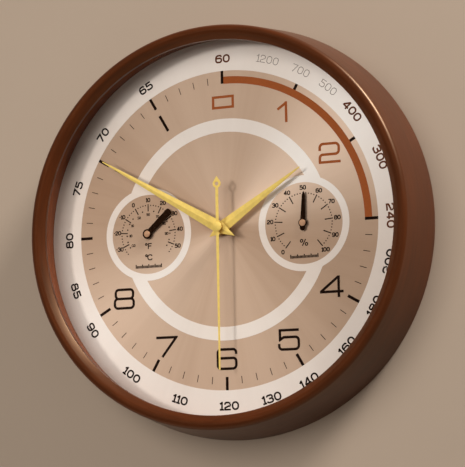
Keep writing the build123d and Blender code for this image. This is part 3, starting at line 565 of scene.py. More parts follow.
def rounded(corners):
    """Points along a chain of corners and radii, with each round corner drawn as an arc."""
    points = []
    for number, (corner, radius) in enumerate(corners):
        if not radius:
            points.append(corner)
            continue
        back = corners[number - 1][0] - corner
        ahead = corners[(number + 1) % len(corners)][0] - corner
        back, ahead = back / abs(back), ahead / abs(ahead)
        half = abs(phase(ahead / back)) / 2
        start, end = corner + back * radius / tan(half), corner + ahead * radius / tan(half)
        centre = corner + (back + ahead) / abs(back + ahead) * radius / sin(half)
        sweep = phase((end - centre) / (start - centre))
        for step in range(ARC_STEPS + 1):
            points.append(centre + (start - centre) * rect(1, sweep * step / ARC_STEPS))
    return points


def stroke(points, width, closed):
    """Outlines of a pen stroke: one loop for an open stroke, and two for a closed one."""
    sides = {1: [], -1: []}
    last = len(points) - 1
    for number, point in enumerate(points):
        before = points[number - 1] if closed or number else None
        after = points[(number + 1) % len(points)] if closed or number < last else None
        into = (point - before) / abs(point - before) if before is not None else None
        out = (after - point) / abs(after - point) if after is not None else None
        into, out = into or out, out or into
        mitre = (into + out) * 1j / abs(into + out)
        reach = 1 / max((mitre * (into * 1j).conjugate()).real, 1 / (2 * MITRE_LIMIT))
        turn = phase(out / into)
        for side, edge in sides.items():
            half = side * width / 2
            if reach > MITRE_LIMIT and turn * side < 0:
                edge.append(point + half * into * 1j + abs(half) * into)
                edge.append(point + half * out * 1j - abs(half) * out)
            else:
                edge.append(point + half * mitre * reach)
    if closed:
        return [sides[1], sides[-1]]
    return [sides[1] + sides[-1][::-1]]


def drawn(name, outlines, thickness):
    """A thin plate in the drawing plane from closed outlines, where an outline within another is a hole."""
    curve = bpy.data.curves.new(name, "CURVE")
    curve.dimensions = "2D"
    curve.fill_mode = "BOTH"
    curve.extrude = thickness / 2
    for outline in outlines:
        spline = curve.splines.new("POLY")
        spline.points.add(len(outline) - 1)
        spline.use_cyclic_u = True
        for point, place in zip(spline.points, outline):
            point.co = (place.real, place.imag, 0, 1)
    piece = bpy.data.objects.new(name, curve)
    bpy.context.collection.objects.link(piece)
    pick(piece)
    bpy.ops.object.convert(target="MESH")
    piece = bpy.context.object
    close_up(piece)
    return piece


def pen_drawn(name, strokes, height, pen, thickness, width=1.0, centre=0):
    """A figure from pen strokes, as a thin plate about a centre in the drawing plane."""
    piece = None
    for corners, closed in strokes:
        path = [
            (centre + complex(x * width, y) * height, sum(rounding) * width * height)
            for x, y, *rounding in corners
        ]
        part = drawn(name, stroke(rounded(path), pen, closed), thickness)
        piece = combine(piece, part, "UNION") if piece else part
    return piece


def laid(piece, lift):
    """Stands a flat drawing up against the dial, with its middle at a lift before the dial."""
    piece.rotation_euler = (pi / 2, 0, 0)
    piece.location = (HUB.x, DIAL_FRONT - lift, HUB.z)
    pick(piece)
    bpy.ops.object.transform_apply(location=True, rotation=True, scale=True)
    return piece


def printed(name, outlines, thickness):
    """A layer of print straight on the dial."""
    return laid(drawn(name, outlines, thickness), thickness / 2)


class Figures:
    """Figures of one height, pen and width, each modelled once and then copied to its places."""

    def __init__(self, height, thickness, pen=FIGURE_PEN_SHARE, width=1.0):
        self.height = height
        self.thickness = thickness
        self.pen = pen
        self.width = width
        self.meshes = {}

    def mesh(self, character):
        if character not in self.meshes:
            pen = self.pen * self.height
            strokes = FIGURE_STROKES[character]
            piece = pen_drawn("figure", strokes, self.height, pen, self.thickness, self.width)
            self.meshes[character] = piece.data
            bpy.data.objects.remove(piece)
        return self.meshes[character]

    def put(self, character, place, turn):
        """A copy of a figure at a place in the drawing plane, turned clockwise."""
        mesh = self.mesh(character).copy()
        shift = Matrix.Translation((place.real, place.imag, 0))
        mesh.transform(shift @ Matrix.Rotation(-radians(turn), 4, "Z"))
        piece = bpy.data.objects.new("figure", mesh)
        bpy.context.collection.objects.link(piece)
        return piece

    def spread(self, word):
        """Each figure of a word with its place along the line, from the word's middle."""
        shares = [ADVANCE_SHARES.get(character, FULL_ADVANCE_SHARE) for character in word]
        unit = self.width * self.height
        for number, character in enumerate(word):
            yield character, (sum(shares[:number]) + shares[number] / 2 - sum(shares) / 2) * unit

    def row(self, word, centre):
        """Figures side by side on a level line."""
        return [self.put(character, centre + along, 0) for character, along in self.spread(word)]

    def ring(self, word, radius, angle):
        """Figures round the dial, heads outwards above the middle and inwards below it."""
        first, last = LOWER_HALF
        inwards = first < angle < last
        side = -1 if inwards else 1
        pieces = []
        for character, along in self.spread(word):
            place = angle + side * degrees(along / radius)
            pieces.append(self.put(character, dial_point(radius, place), place + 180 * inwards))
        return pieces


# Turning about an axis that runs along the clock's depth

def turned(name, axis, chain, steps):
    """Turns a chain of points, each a radius and a place along the depth, about an axis."""
    deselect()
    bpy.ops.mesh.primitive_plane_add(size=MM)
    piece = bpy.context.object
    piece.name = name
    piece.data.name = name
    bpy.ops.object.mode_set(mode="EDIT")
    bpy.ops.mesh.merge(type="CENTER")
    places = [Vector((axis.x + radius, depth, axis.z)) for radius, depth in chain]
    bpy.ops.transform.translate(value=places[0])
    for one, other in zip(places, places[1:]):
        bpy.ops.mesh.extrude_region_move(TRANSFORM_OT_translate={"value": other - one})
    bpy.ops.mesh.select_all(action="SELECT")
    bpy.ops.mesh.spin(steps=steps, angle=2 * pi, center=axis, axis=(0, 1, 0))
    close_up(piece)
    return smooth(piece)


def rounded_chain(corners):
    """A closed turning chain from corners of radius, depth and rounding."""
    points = rounded([(complex(radius, depth), rounding) for radius, depth, rounding in corners])
    chain = [(point.real, point.imag) for point in points]
    return chain + chain[:1]


# Shader nodes

def add_node(tree, kind, **settings):
    """A shader node, with settings for its own options or, in a dictionary, its input sockets."""
    node = tree.nodes.new("ShaderNode" + kind)
    for name, value in settings.items():
        if name == "inputs":
            for socket, content in value.items():
                plug(tree, content, node.inputs[socket])
        else:
            setattr(node, name, value)
    return node


def plug(tree, content, socket):
    """Links an output to a socket, or sets the socket's own value."""
    if isinstance(content, bpy.types.NodeSocket):
        tree.links.new(content, socket)
    elif socket.type == "RGBA" and len(content) == 3:
        socket.default_value = (*content, 1)
    else:
        socket.default_value = content


def math(tree, operation, one, other=0.0, third=0.0, clamp=False):
    inputs = {0: one, 1: other, 2: third}
    return add_node(tree, "Math", operation=operation, use_clamp=clamp, inputs=inputs).outputs[0]


def group_of(name, inputs, outputs):
    """A new shader node group and its two end nodes."""
    tree = bpy.data.node_groups.new(name, "ShaderNodeTree")
    for socket, kind, default in inputs:
        made = tree.interface.new_socket(socket, in_out="INPUT", socket_type="NodeSocket" + kind)
        made.default_value = default
    for socket, kind in outputs:
        tree.interface.new_socket(socket, in_out="OUTPUT", socket_type="NodeSocket" + kind)
    start = tree.nodes.new("NodeGroupInput")
    end = tree.nodes.new("NodeGroupOutput")
    return tree, start.outputs, end.inputs


def even_noise(tree, vector, scale, detail, roughness):
    """Noise spread out to fill the range from 0 to 1."""
    inputs = {"Vector": vector, "Scale": scale, "Detail": detail, "Roughness": roughness}
    noise = add_node(tree, "TexNoise", inputs=inputs).outputs["Fac"]
    low, high = NOISE_SPAN
    return add_node(tree, "MapRange", inputs={"Value": noise, "From Min": low, "From Max": high}).outputs[0]


def vector_math(tree, operation, one, other=(0, 0, 0)):
    return add_node(tree, "VectorMath", operation=operation, inputs={0: one, 1: other}).outputs


def grain_group():
    """Cloudy and fine variation of a surface, stretched along a chosen direction."""
    if "surface_grain" in bpy.data.node_groups:
        return bpy.data.node_groups["surface_grain"]
    tree, given, result = group_of(
        "surface_grain",
        [("Vector", "Vector", (0, 0, 0)), ("Stretch", "Vector", (1, 1, 1)), ("Scale", "Float", 100.0)],
        [("Cloud", "Float"), ("Fine", "Float")],
    )
    place = vector_math(tree, "MULTIPLY", given["Vector"], given["Stretch"])[0]
    fine_scale = math(tree, "MULTIPLY", given["Scale"], 5.0)
    for socket, scale, detail in (("Cloud", given["Scale"], 4.0), ("Fine", fine_scale, 2.0)):
        plug(tree, even_noise(tree, place, scale, detail, roughness=0.6), result[socket])
    return tree


def polar_group():
    """Direction of a place from an axis along the clock's depth, and its turn, depth and radius."""
    if "polar_place" in bpy.data.node_groups:
        return bpy.data.node_groups["polar_place"]
    tree, given, result = group_of(
        "polar_place",
        [("Vector", "Vector", (0, 0, 0)), ("Centre", "Vector", (0, 0, 0))],
        [("Direction", "Vector"), ("Around", "Vector")],
    )
    away = vector_math(tree, "SUBTRACT", given["Vector"], given["Centre"])[0]
    flat = vector_math(tree, "MULTIPLY", away, (1, 0, 1))[0]
    parts = add_node(tree, "SeparateXYZ", inputs={0: away}).outputs
    radius = vector_math(tree, "LENGTH", flat)["Value"]
    turn = math(tree, "ARCTAN2", parts["X"], parts["Z"])
    around = add_node(tree, "CombineXYZ", inputs={"X": turn, "Y": parts["Y"], "Z": radius})
    plug(tree, vector_math(tree, "NORMALIZE", flat)[0], result["Direction"])
    plug(tree, around.outputs[0], result["Around"])
    return tree


def sunray_group():
    """Tone of a brushed dial: a narrow pair of painted sheen lobes, a broad pair, and streaks of two widths.
    """
    if "sunray" in bpy.data.node_groups:
        return bpy.data.node_groups["sunray"]
    tree, given, result = group_of(
        "sunray",
        [("Vector", "Vector", (0, 0, 0)), ("Centre", "Vector", (0, 0, 0))],
        [("Tone", "Float"), ("Streaks", "Float")],
    )
    direction = use_group(tree, polar_group(), Vector=given["Vector"], Centre=given["Centre"])["Direction"]
    tone = 0.0
    # Each pair of lobes paints a highlight into the tone, one lobe lighter than the other by its lean
    for angle, sharpness, share, lean in PAINTED_SHEEN_LOBES:
        line = dial_point(1, angle)
        dot = vector_math(tree, "DOT_PRODUCT", direction, (line.real, 0, line.imag))["Value"]
        lobe = math(tree, "POWER", math(tree, "MULTIPLY", dot, dot), sharpness)
        tone = math(tree, "MULTIPLY_ADD", lobe, math(tree, "MULTIPLY_ADD", dot, lean, share), tone)
    for scale, share in SUNRAY_STREAKS:
        streaks = even_noise(tree, direction, scale, detail=3.0, roughness=0.65)
        tone = math(tree, "MULTIPLY_ADD", streaks, share, tone, clamp=True)
    plug(tree, tone, result["Tone"])
    plug(tree, streaks, result["Streaks"])
    return tree


def new_material(name, **constants):
    """A material with its shader's constant sockets set."""
    material = bpy.data.materials.new(name)
    material.use_nodes = True
    tree = material.node_tree
    shader = tree.nodes["Principled BSDF"]
    for socket, value in constants.items():
        plug(tree, value, shader.inputs[socket.replace("_", " ")])
    return material, tree, shader.inputs


def object_place(tree):
    return add_node(tree, "TexCoord").outputs["Object"]


def use_group(tree, group, **inputs):
    node = tree.nodes.new("ShaderNodeGroup")
    node.node_tree = group
    for name, value in inputs.items():
        plug(tree, value, node.inputs[name])
    return node.outputs


def mixed(tree, factor, one, other):
    node = add_node(tree, "Mix", data_type="RGBA")
    plug(tree, factor, node.inputs["Factor"])
    plug(tree, one, node.inputs[6])
    plug(tree, other, node.inputs[7])
    return node.outputs[2]


def ranged(tree, value, low, high):
    return add_node(tree, "MapRange", inputs={"Value": value, "To Min": low, "To Max": high}).outputs[0]


def bumped(tree, height, strength, distance):
    inputs = {"Height": height, "Strength": strength, "Distance": distance}
    return add_node(tree, "Bump", inputs=inputs).outputs[0]


def shaded(colour, share):
    """A darker or lighter tone of a colour."""
    return tuple(share * value for value in colour)


def grained(
    name, light, dark, roughness, scale, stretch=(1, 1, 1), metallic=0.0, bump=0.15, depth=0.05 * MM,
    **constants
):
    """A finish whose tone, gloss and relief vary with a grain."""
    if name in bpy.data.materials:
        return bpy.data.materials[name]
    material, tree, shader = new_material(name, Metallic=metallic, **constants)
    grain = use_group(tree, grain_group(), Vector=object_place(tree), Scale=scale, Stretch=stretch)
    plug(tree, mixed(tree, grain["Cloud"], dark, light), shader["Base Color"])
    plug(tree, ranged(tree, grain["Fine"], *roughness), shader["Roughness"])
    plug(tree, bumped(tree, grain["Fine"], bump, depth), shader["Normal"])
    return material


# Finishes of this clock's own pieces

def walnut_lacquer(name, light, dark, roughness, **constants):
    """Brown lacquer with a faint grain that runs round the case."""
    material, tree, shader = new_material(name, **constants)
    polar = use_group(tree, polar_group(), Vector=object_place(tree), Centre=HUB)
    grain = use_group(tree, grain_group(), Vector=polar["Around"], Scale=26.0, Stretch=(0.12, 9, 9))
    plug(tree, mixed(tree, grain["Cloud"], dark[:], light[:]), shader["Base Color"])
    plug(tree, ranged(tree, grain["Fine"], *roughness), shader["Roughness"])
    plug(tree, bumped(tree, grain["Fine"], strength=0.05, distance=0.04 * MM), shader["Normal"])
    return material


def frame_lacquer(colours):
    return walnut_lacquer(
        "frame_lacquer", colours.frame_light, colours.frame_dark, (0.32, 0.38), Specular_IOR_Level=0.6,
        Specular_Tint=(1, 0.67, 0.4),
    )


def hoop_lacquer(colours):
    return walnut_lacquer("hoop_lacquer", colours.hoop_light, colours.hoop_dark, (0.12, 0.2))


def rayed(name, dark, light, roughness, **constants):
    """A finish of the dial whose tone carries painted sheen lobes and the sunray brushing's streaks."""
    if name in bpy.data.materials:
        return bpy.data.materials[name]
    material, tree, shader = new_material(name, **constants)
    sheen_and_rays = use_group(tree, sunray_group(), Vector=object_place(tree), Centre=HUB)
    plug(tree, mixed(tree, sheen_and_rays["Tone"], dark[:], light[:]), shader["Base Color"])
    plug(tree, ranged(tree, sheen_and_rays["Streaks"], *roughness), shader["Roughness"])
    plug(tree, bumped(tree, sheen_and_rays["Streaks"], strength=0.04, distance=0.02 * MM), shader["Normal"])
    return material


# The dial's tone: painted sheen lobes between the dull and the bright champagne, with brushing streaks
def champagne_sunray(colours):
    return rayed(
        "champagne_sunray", colours.dial_dark, colours.dial_light, (0.42, 0.55), Specular_IOR_Level=0.2
    )


def white_ink(colours):
    """White print whose tone carries the dial's painted sheen lobes and its brushing streaks."""
    return rayed("white_ink", colours.white_dark, colours.white_light, (0.5, 0.62), Specular_IOR_Level=0.2)


def ink(name, colour):
    """Silk-screen print: even, with a little grain."""
    dark = shaded(colour, 0.9)
    return grained(
        name, colour[:], dark, (0.55, 0.7), 700.0, bump=0.04, depth=FINE_RELIEF, Specular_IOR_Level=0.15
    )


def satin_gold(colours):
    dark = shaded(colours.gold, 0.86)
    return grained(
        "satin_gold", colours.gold[:], dark, (0.5, 0.6), 300.0, metallic=0.2, bump=0.04, depth=FINE_RELIEF
    )


def rose_gold(colours):
    dark = shaded(colours.rose_gold, 0.8)
    return grained(
        "rose_gold", colours.rose_gold[:], dark, (0.35, 0.48), 500.0, metallic=0.4, bump=0.04,
        depth=FINE_RELIEF,
    )


def needle_lacquer(colours):
    light = shaded(colours.needle, 1.6)
    return grained(
        "needle_lacquer", light, colours.needle[:], (0.6, 0.7), 500.0, bump=0.05, depth=FINE_RELIEF,
        Specular_IOR_Level=0.05,
    )


def black_moulding(colours):
    dark = shaded(colours.moulding, 0.7)
    return grained(
        "black_moulding", colours.moulding[:], dark, (0.5, 0.7), 420.0, bump=0.25, depth=0.06 * MM
    )


def movement_moulding():
    return grained(
        "movement_moulding", linear(52, 52, 54), linear(40, 40, 42), (0.42, 0.58), 600.0, bump=0.2
    )


def zinc_steel():
    return grained(
        "zinc_steel", linear(200, 200, 196), linear(160, 160, 158), (0.25, 0.42), 400.0, metallic=1.0,
        bump=0.06, depth=FINE_RELIEF,
    )


def turned_brass():
    return grained(
        "turned_brass", linear(214, 178, 104), linear(176, 138, 72), (0.24, 0.4), 500.0, (1, 6, 1),
        metallic=1.0, bump=0.06, depth=FINE_RELIEF,
    )


def bimetal():
    return grained(
        "bimetal", linear(190, 160, 116), linear(150, 124, 90), (0.3, 0.45), 300.0, metallic=1.0, bump=0.05
    )


def acetal():
    return grained("acetal", linear(236, 233, 222), linear(220, 216, 204), (0.35, 0.5), 300.0, bump=0.05)


def soft_iron():
    return grained(
        "soft_iron", linear(176, 176, 176), linear(140, 140, 142), (0.35, 0.5), 260.0, metallic=1.0,
        bump=0.05,
    )


def ferrite():
    return grained("ferrite", linear(84, 84, 88), linear(62, 62, 66), (0.45, 0.6), 400.0, bump=0.1)


def solder_mask():
    return grained("solder_mask", linear(44, 120, 66), linear(34, 98, 54), (0.25, 0.4), 200.0, bump=0.05)


def epoxy():
    return grained("epoxy", linear(30, 30, 30), linear(20, 20, 20), (0.2, 0.35), 200.0, bump=0.05)


def washer_rubber():
    return grained("washer_rubber", linear(40, 40, 40), linear(30, 30, 30), (0.7, 0.85), 300.0)


def floor_paint():
    return grained(
        "floor_paint", linear(214, 208, 200), linear(206, 200, 192), (0.8, 0.95), 6.0, bump=0.02
    )


def see_through(tree, factor):
    """Makes a material clear where a factor is one."""
    end = next(node for node in tree.nodes if node.type == "OUTPUT_MATERIAL")
    solid = tree.nodes["Principled BSDF"].outputs[0]
    clear = add_node(tree, "BsdfTransparent").outputs[0]
    sheet = add_node(tree, "MixShader", inputs={0: factor, 1: solid, 2: clear})
    plug(tree, sheet.outputs[0], end.inputs["Surface"])


def clear_glass():
    """A thin clear pane, faintly dusty, that lets the lamps through to the dial."""
    material, tree, shader = new_material(
        "clear_glass", Roughness=0.0, Metallic=0.0, Transmission_Weight=1.0, IOR=1.01
    )
    grain = use_group(tree, grain_group(), Vector=object_place(tree), Scale=40.0)
    plug(tree, mixed(tree, grain["Cloud"], (0.985, 0.985, 0.985), (1, 1, 1)), shader["Base Color"])
    path = add_node(tree, "LightPath").outputs
    bounced = math(tree, "MAXIMUM", path["Is Diffuse Ray"], path["Is Glossy Ray"])
    see_through(tree, math(tree, "MAXIMUM", path["Is Shadow Ray"], bounced))
    return material


def wall_paint(colours):
    """Matt paint on a sheet that is clear from behind."""
    tone = tuple(colours.wall)
    material = grained("wall_paint", tone, shaded(tone, 0.97), (0.8, 0.95), 6.0, bump=0.02)
    tree = material.node_tree
    see_through(tree, add_node(tree, "NewGeometry").outputs["Backfacing"])
    return material


def battery_jacket():
    """A plain two-tone sleeve that leaves the metal ends bare."""
    material, tree, shader = new_material("battery_jacket")
    low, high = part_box("battery")
    place = object_place(tree)
    along = add_node(tree, "SeparateXYZ", inputs={0: place}).outputs["X"]
    share = add_node(
        tree, "MapRange", inputs={"Value": along, "From Min": low.x, "From Max": high.x}
    ).outputs[0]
    grain = use_group(tree, grain_group(), Vector=place, Scale=300.0)
    band = math(tree, "GREATER_THAN", share, BAND_START_SHARE)
    sleeve = mixed(tree, band, linear(46, 84, 74), linear(196, 190, 172))
    first, last = BARE_END_SHARES
    low_end = math(tree, "LESS_THAN", share, first)
    bare = math(tree, "MAXIMUM", low_end, math(tree, "GREATER_THAN", share, last))
    plug(tree, mixed(tree, bare, sleeve, linear(190, 190, 188)), shader["Base Color"])
    plug(tree, bare, shader["Metallic"])
    plug(tree, ranged(tree, grain["Fine"], 0.28, 0.4), shader["Roughness"])
    plug(tree, bumped(tree, grain["Cloud"], strength=0.03, distance=0.02 * MM), shader["Normal"])
    return material


def wound_wire():
    """Fine turns of enamelled wire across the coil."""
    material, tree, shader = new_material("wound_wire", Metallic=0.8)
    place = object_place(tree)
    wave = add_node(
        tree, "TexWave", bands_direction="Z", inputs={"Vector": place, "Scale": 1600.0, "Distortion": 0.4}
    ).outputs["Fac"]
    plug(tree, mixed(tree, wave, linear(120, 58, 26), linear(206, 116, 58)), shader["Base Color"])
    plug(tree, ranged(tree, wave, 0.5, 0.3), shader["Roughness"])
    plug(tree, bumped(tree, wave, strength=0.4, distance=0.05 * MM), shader["Normal"])
    return material


# Operators, one for each piece or group of like pieces

class ClockOperator:
    """Options that every operator shares"""

    bl_options = {"REGISTER", "UNDO"}


class CLOCK_OT_frame_ring(ClockOperator, bpy.types.Operator):
    """Turn the frame ring with its rounded crest, inner slope and lip"""

    bl_idname = "clock.frame_ring"
    bl_label = "Frame ring"

    def execute(self, context):
        size = context.scene.clock_sizes
        foot = complex(CASE_RADIUS, WALL - size.foot_chamfer)
        lip = complex(size.lip_radius, GLASS_FRONT - size.lip_rise)
        ridge = self.ridge(foot, complex(size.crest_outer, CREST), lip, size.crest_round)
        chain = rounded_chain([
            (CASE_RADIUS - size.foot_chamfer, WALL, 0),
            (foot.real, foot.imag, FOOT_ROUND),
            (ridge.real, ridge.imag, size.crest_round),
            (lip.real, lip.imag, size.lip_round),
            (size.lip_radius, GLASS_FRONT, 0),
            (size.ring_bore, GLASS_FRONT, 0),
            (size.ring_bore, DIAL_FRONT, 0),
            (size.rear_bore, DIAL_FRONT, 0),
            (size.rear_bore, WALL, 0),
        ])
        ring = turned("frame_ring_finish", HUB, chain, size.turning_steps)
        settle(ring, "case", frame_lacquer(context.scene.clock_colours), "frame_lacquer", "frame_ring")
        return {"FINISHED"}

    def ridge(self, foot, shoulder, lip, rounding):
        """The corner of the wall and the inner slope whose rounding just reaches the crest."""
        wall = (shoulder - foot) / abs(shoulder - foot)
        turn = phase(1j * wall)
        middle = shoulder.real - rounding * tan(pi / 4 + turn / 2)
        centre = complex(middle, CREST + rounding)
        sight = centre - lip
        slope = sight / abs(sight) * rect(1, -asin(rounding / abs(sight)))
        along = crossed(shoulder - lip, wall) / crossed(slope, wall)
        return lip + along * slope


class CLOCK_OT_spacer_hoop(ClockOperator, bpy.types.Operator):
    """Turn the hoop that stands between the dial and the glass"""

    bl_idname = "clock.spacer_hoop"
    bl_label = "Spacer hoop"

    def execute(self, context):
        size = context.scene.clock_sizes
        chain = rounded_chain([
            (HOOP_RADIUS, DIAL_FRONT, 0),
            (HOOP_RADIUS, GLASS_REAR, 0),
            (size.dial_opening, GLASS_REAR, HOOP_ROUND),
            (size.dial_opening, DIAL_FRONT, HOOP_ROUND),
        ])
        hoop = turned("spacer_hoop_finish", HUB, chain, size.turning_steps)
        settle(hoop, "case", hoop_lacquer(context.scene.clock_colours), "hoop_brown", "spacer_hoop")
        return {"FINISHED"}


class CLOCK_OT_front_glass(ClockOperator, bpy.types.Operator):
    """Turn the clear pane with its ground edge"""

    bl_idname = "clock.front_glass"
    bl_label = "Front glass"

    def execute(self, context):
        size = context.scene.clock_sizes
        chain = [
            (0, GLASS_REAR),
            (HOOP_RADIUS - GLASS_EDGE, GLASS_REAR),
            (HOOP_RADIUS, GLASS_REAR - GLASS_EDGE),
            (HOOP_RADIUS, GLASS_FRONT + GLASS_EDGE),
            (HOOP_RADIUS - GLASS_EDGE, GLASS_FRONT),
            (0, GLASS_FRONT),
        ]
        pane = turned("front_glass_finish", HUB, chain, size.turning_steps)
        settle(pane, "case", clear_glass(), "clear_glass", "front_glass")
        return {"FINISHED"}


class CLOCK_OT_dial_plate(ClockOperator, bpy.types.Operator):
    """Give the dial plate its sunray finish and its painted sheen lobes"""

    bl_idname = "clock.dial_plate"
    bl_label = "Dial plate"

    def execute(self, context):
        dress(champagne_sunray(context.scene.clock_colours), "dial_plate")
        return {"FINISHED"}


class CLOCK_OT_white_print(ClockOperator, bpy.types.Operator):
    """Print the pale outer ring, and the inner band with the rings of the gauges"""

    bl_idname = "clock.white_print"
    bl_label = "White print"

    def execute(self, context):
        size = context.scene.clock_sizes
        unit, thick = size.tick_circle, size.print_thickness
        white = white_ink(context.scene.clock_colours)
        outer_edge = size.dial_opening - size.print_thickness
        outer = printed("outer_ring_print", [circle(outer_edge), circle(unit)], thick)
        settle(outer, "case", white, "dial_champagne")
        inner, edge = (share * unit for share in INNER_BAND_SHARES)
        band = drawn("inner_band_print", [circle(edge), circle(inner)], thick)
        hole, rim = (share * unit for share in GAUGE_RING_SHARES)
        for gauge in (THERMOMETER, HYGROMETER):
            centre = gauge.x - HUB.x
            combine(band, drawn("gauge_ring", [circle(rim, centre)], thick), "UNION")
            cutter = drawn("gauge_hole", [circle(hole, centre)], CUTTER_LAYERS * thick)
            combine(band, cutter, "DIFFERENCE")
        settle(laid(band, thick / 2), "case", white, "dial_champagne")
        return {"FINISHED"}


class CLOCK_OT_ticks(ClockOperator, bpy.types.Operator):
    """Print the hour ticks, the minute ticks, the spare bars and the copper arc"""

    bl_idname = "clock.ticks"
    bl_label = "Ticks and arc"

    def execute(self, context):
        size = context.scene.clock_sizes
        colours = context.scene.clock_colours
        unit, thick = size.tick_circle, size.print_thickness
        wide, fine = HOUR_TICK_WIDTH_SHARE * unit, MINUTE_TICK_WIDTH_SHARE * unit
        dark, copper = ink("dark_ink", colours.dark_print), ink("copper_ink", colours.copper_print)
        outlines = []
        for hour in range(12):
            inner = ARC_OUTER_SHARE if hour in ARC_HOURS else TICK_INNER_SHARE
            outlines.append(bar(inner * unit, unit, 30 * hour, wide))
        for minute in TICKED_MINUTES:
            if minute % 5:
                inner, outer = MINUTE_TICK_INNER_SHARE * unit, MINUTE_TICK_OUTER_SHARE * unit
                outlines.append(bar(inner, outer, 6 * minute, fine))
        for hour in BAR_HOURS:
            inner, outer = (share * unit for share in HOUR_BAR_SHARES)
            outlines.append(bar(inner, outer, 30 * hour, wide))
        settle(printed("hour_and_minute_ticks", outlines, thick), "case", dark, "dial_champagne")
        inner, outer = ARC_INNER_SHARE * unit, ARC_OUTER_SHARE * unit
        half_tick = degrees(wide / 2 / inner)
        sweep = arc_band(inner, outer, half_tick, 90 - half_tick)
        settle(printed("first_quarter_arc", [sweep], thick), "case", copper, "dial_champagne")
        end = printed("quarter_end_tick", [bar(inner, outer, 90, wide)], thick)
        settle(end, "case", dark, "dial_champagne")
        return {"FINISHED"}


class CLOCK_OT_hour_numerals(ClockOperator, bpy.types.Operator):
    """Print the square hour numerals, copper in the first quarter and dark in the rest"""

    bl_idname = "clock.hour_numerals"
    bl_label = "Hour numerals"

    def execute(self, context):
        size = context.scene.clock_sizes
        colours = context.scene.clock_colours
        thick = size.print_thickness
        height = NUMERAL_HEIGHT_SHARE * size.tick_circle
        radius = NUMERAL_RADIUS_SHARE * size.tick_circle
        pen = NUMERAL_PEN_SHARE * height
        copper, dark = ink("copper_ink", colours.copper_print), ink("dark_ink", colours.dark_print)
        for numerals, material in ((COPPER_NUMERALS, copper), (DARK_NUMERALS, dark)):
            for figure, angle in numerals.items():
                numeral = pen_drawn(
                    "hour_numeral_" + figure, HOUR_STROKES[figure], height, pen, thick,
                    centre=dial_point(radius, angle),
                )
                settle(laid(numeral, thick / 2), "case", material, "dial_champagne")
        return {"FINISHED"}


class CLOCK_OT_outer_numbers(ClockOperator, bpy.types.Operator):
    """Print the numbers of the outer ring"""

    bl_idname = "clock.outer_numbers"
    bl_label = "Outer numbers"

    def execute(self, context):
        size = context.scene.clock_sizes
        colours = context.scene.clock_colours
        height = OUTER_NUMBER_HEIGHT_SHARE * size.tick_circle
        bold = Figures(height, size.print_thickness)
        thin = Figures(height, size.print_thickness, pen=THIN_PEN_SHARE, width=THIN_WIDTH_SHARE)
        brown, dark = ink("brown_ink", colours.brown_print), ink("dark_ink", colours.dark_print)
        grey = ink("grey_ink", colours.grey_print)
        self.print_ring(size, "outer_ring_numbers", bold, DARK_NUMBERS, dark)
        self.print_ring(size, "outer_ring_brown_numbers", bold, BROWN_NUMBERS, brown)
        self.print_ring(size, "outer_ring_thin_numbers", thin, THIN_NUMBERS, grey)
        return {"FINISHED"}

    def print_ring(self, size, name, figures, numbers, material):
        pieces = []
        for word, (angle, share) in numbers.items():
            pieces += figures.ring(word, share * size.tick_circle, angle)
        ring = laid(joined(name, pieces), SECOND_LAYER * size.print_thickness)
        settle(ring, "case", material, "dial_champagne")


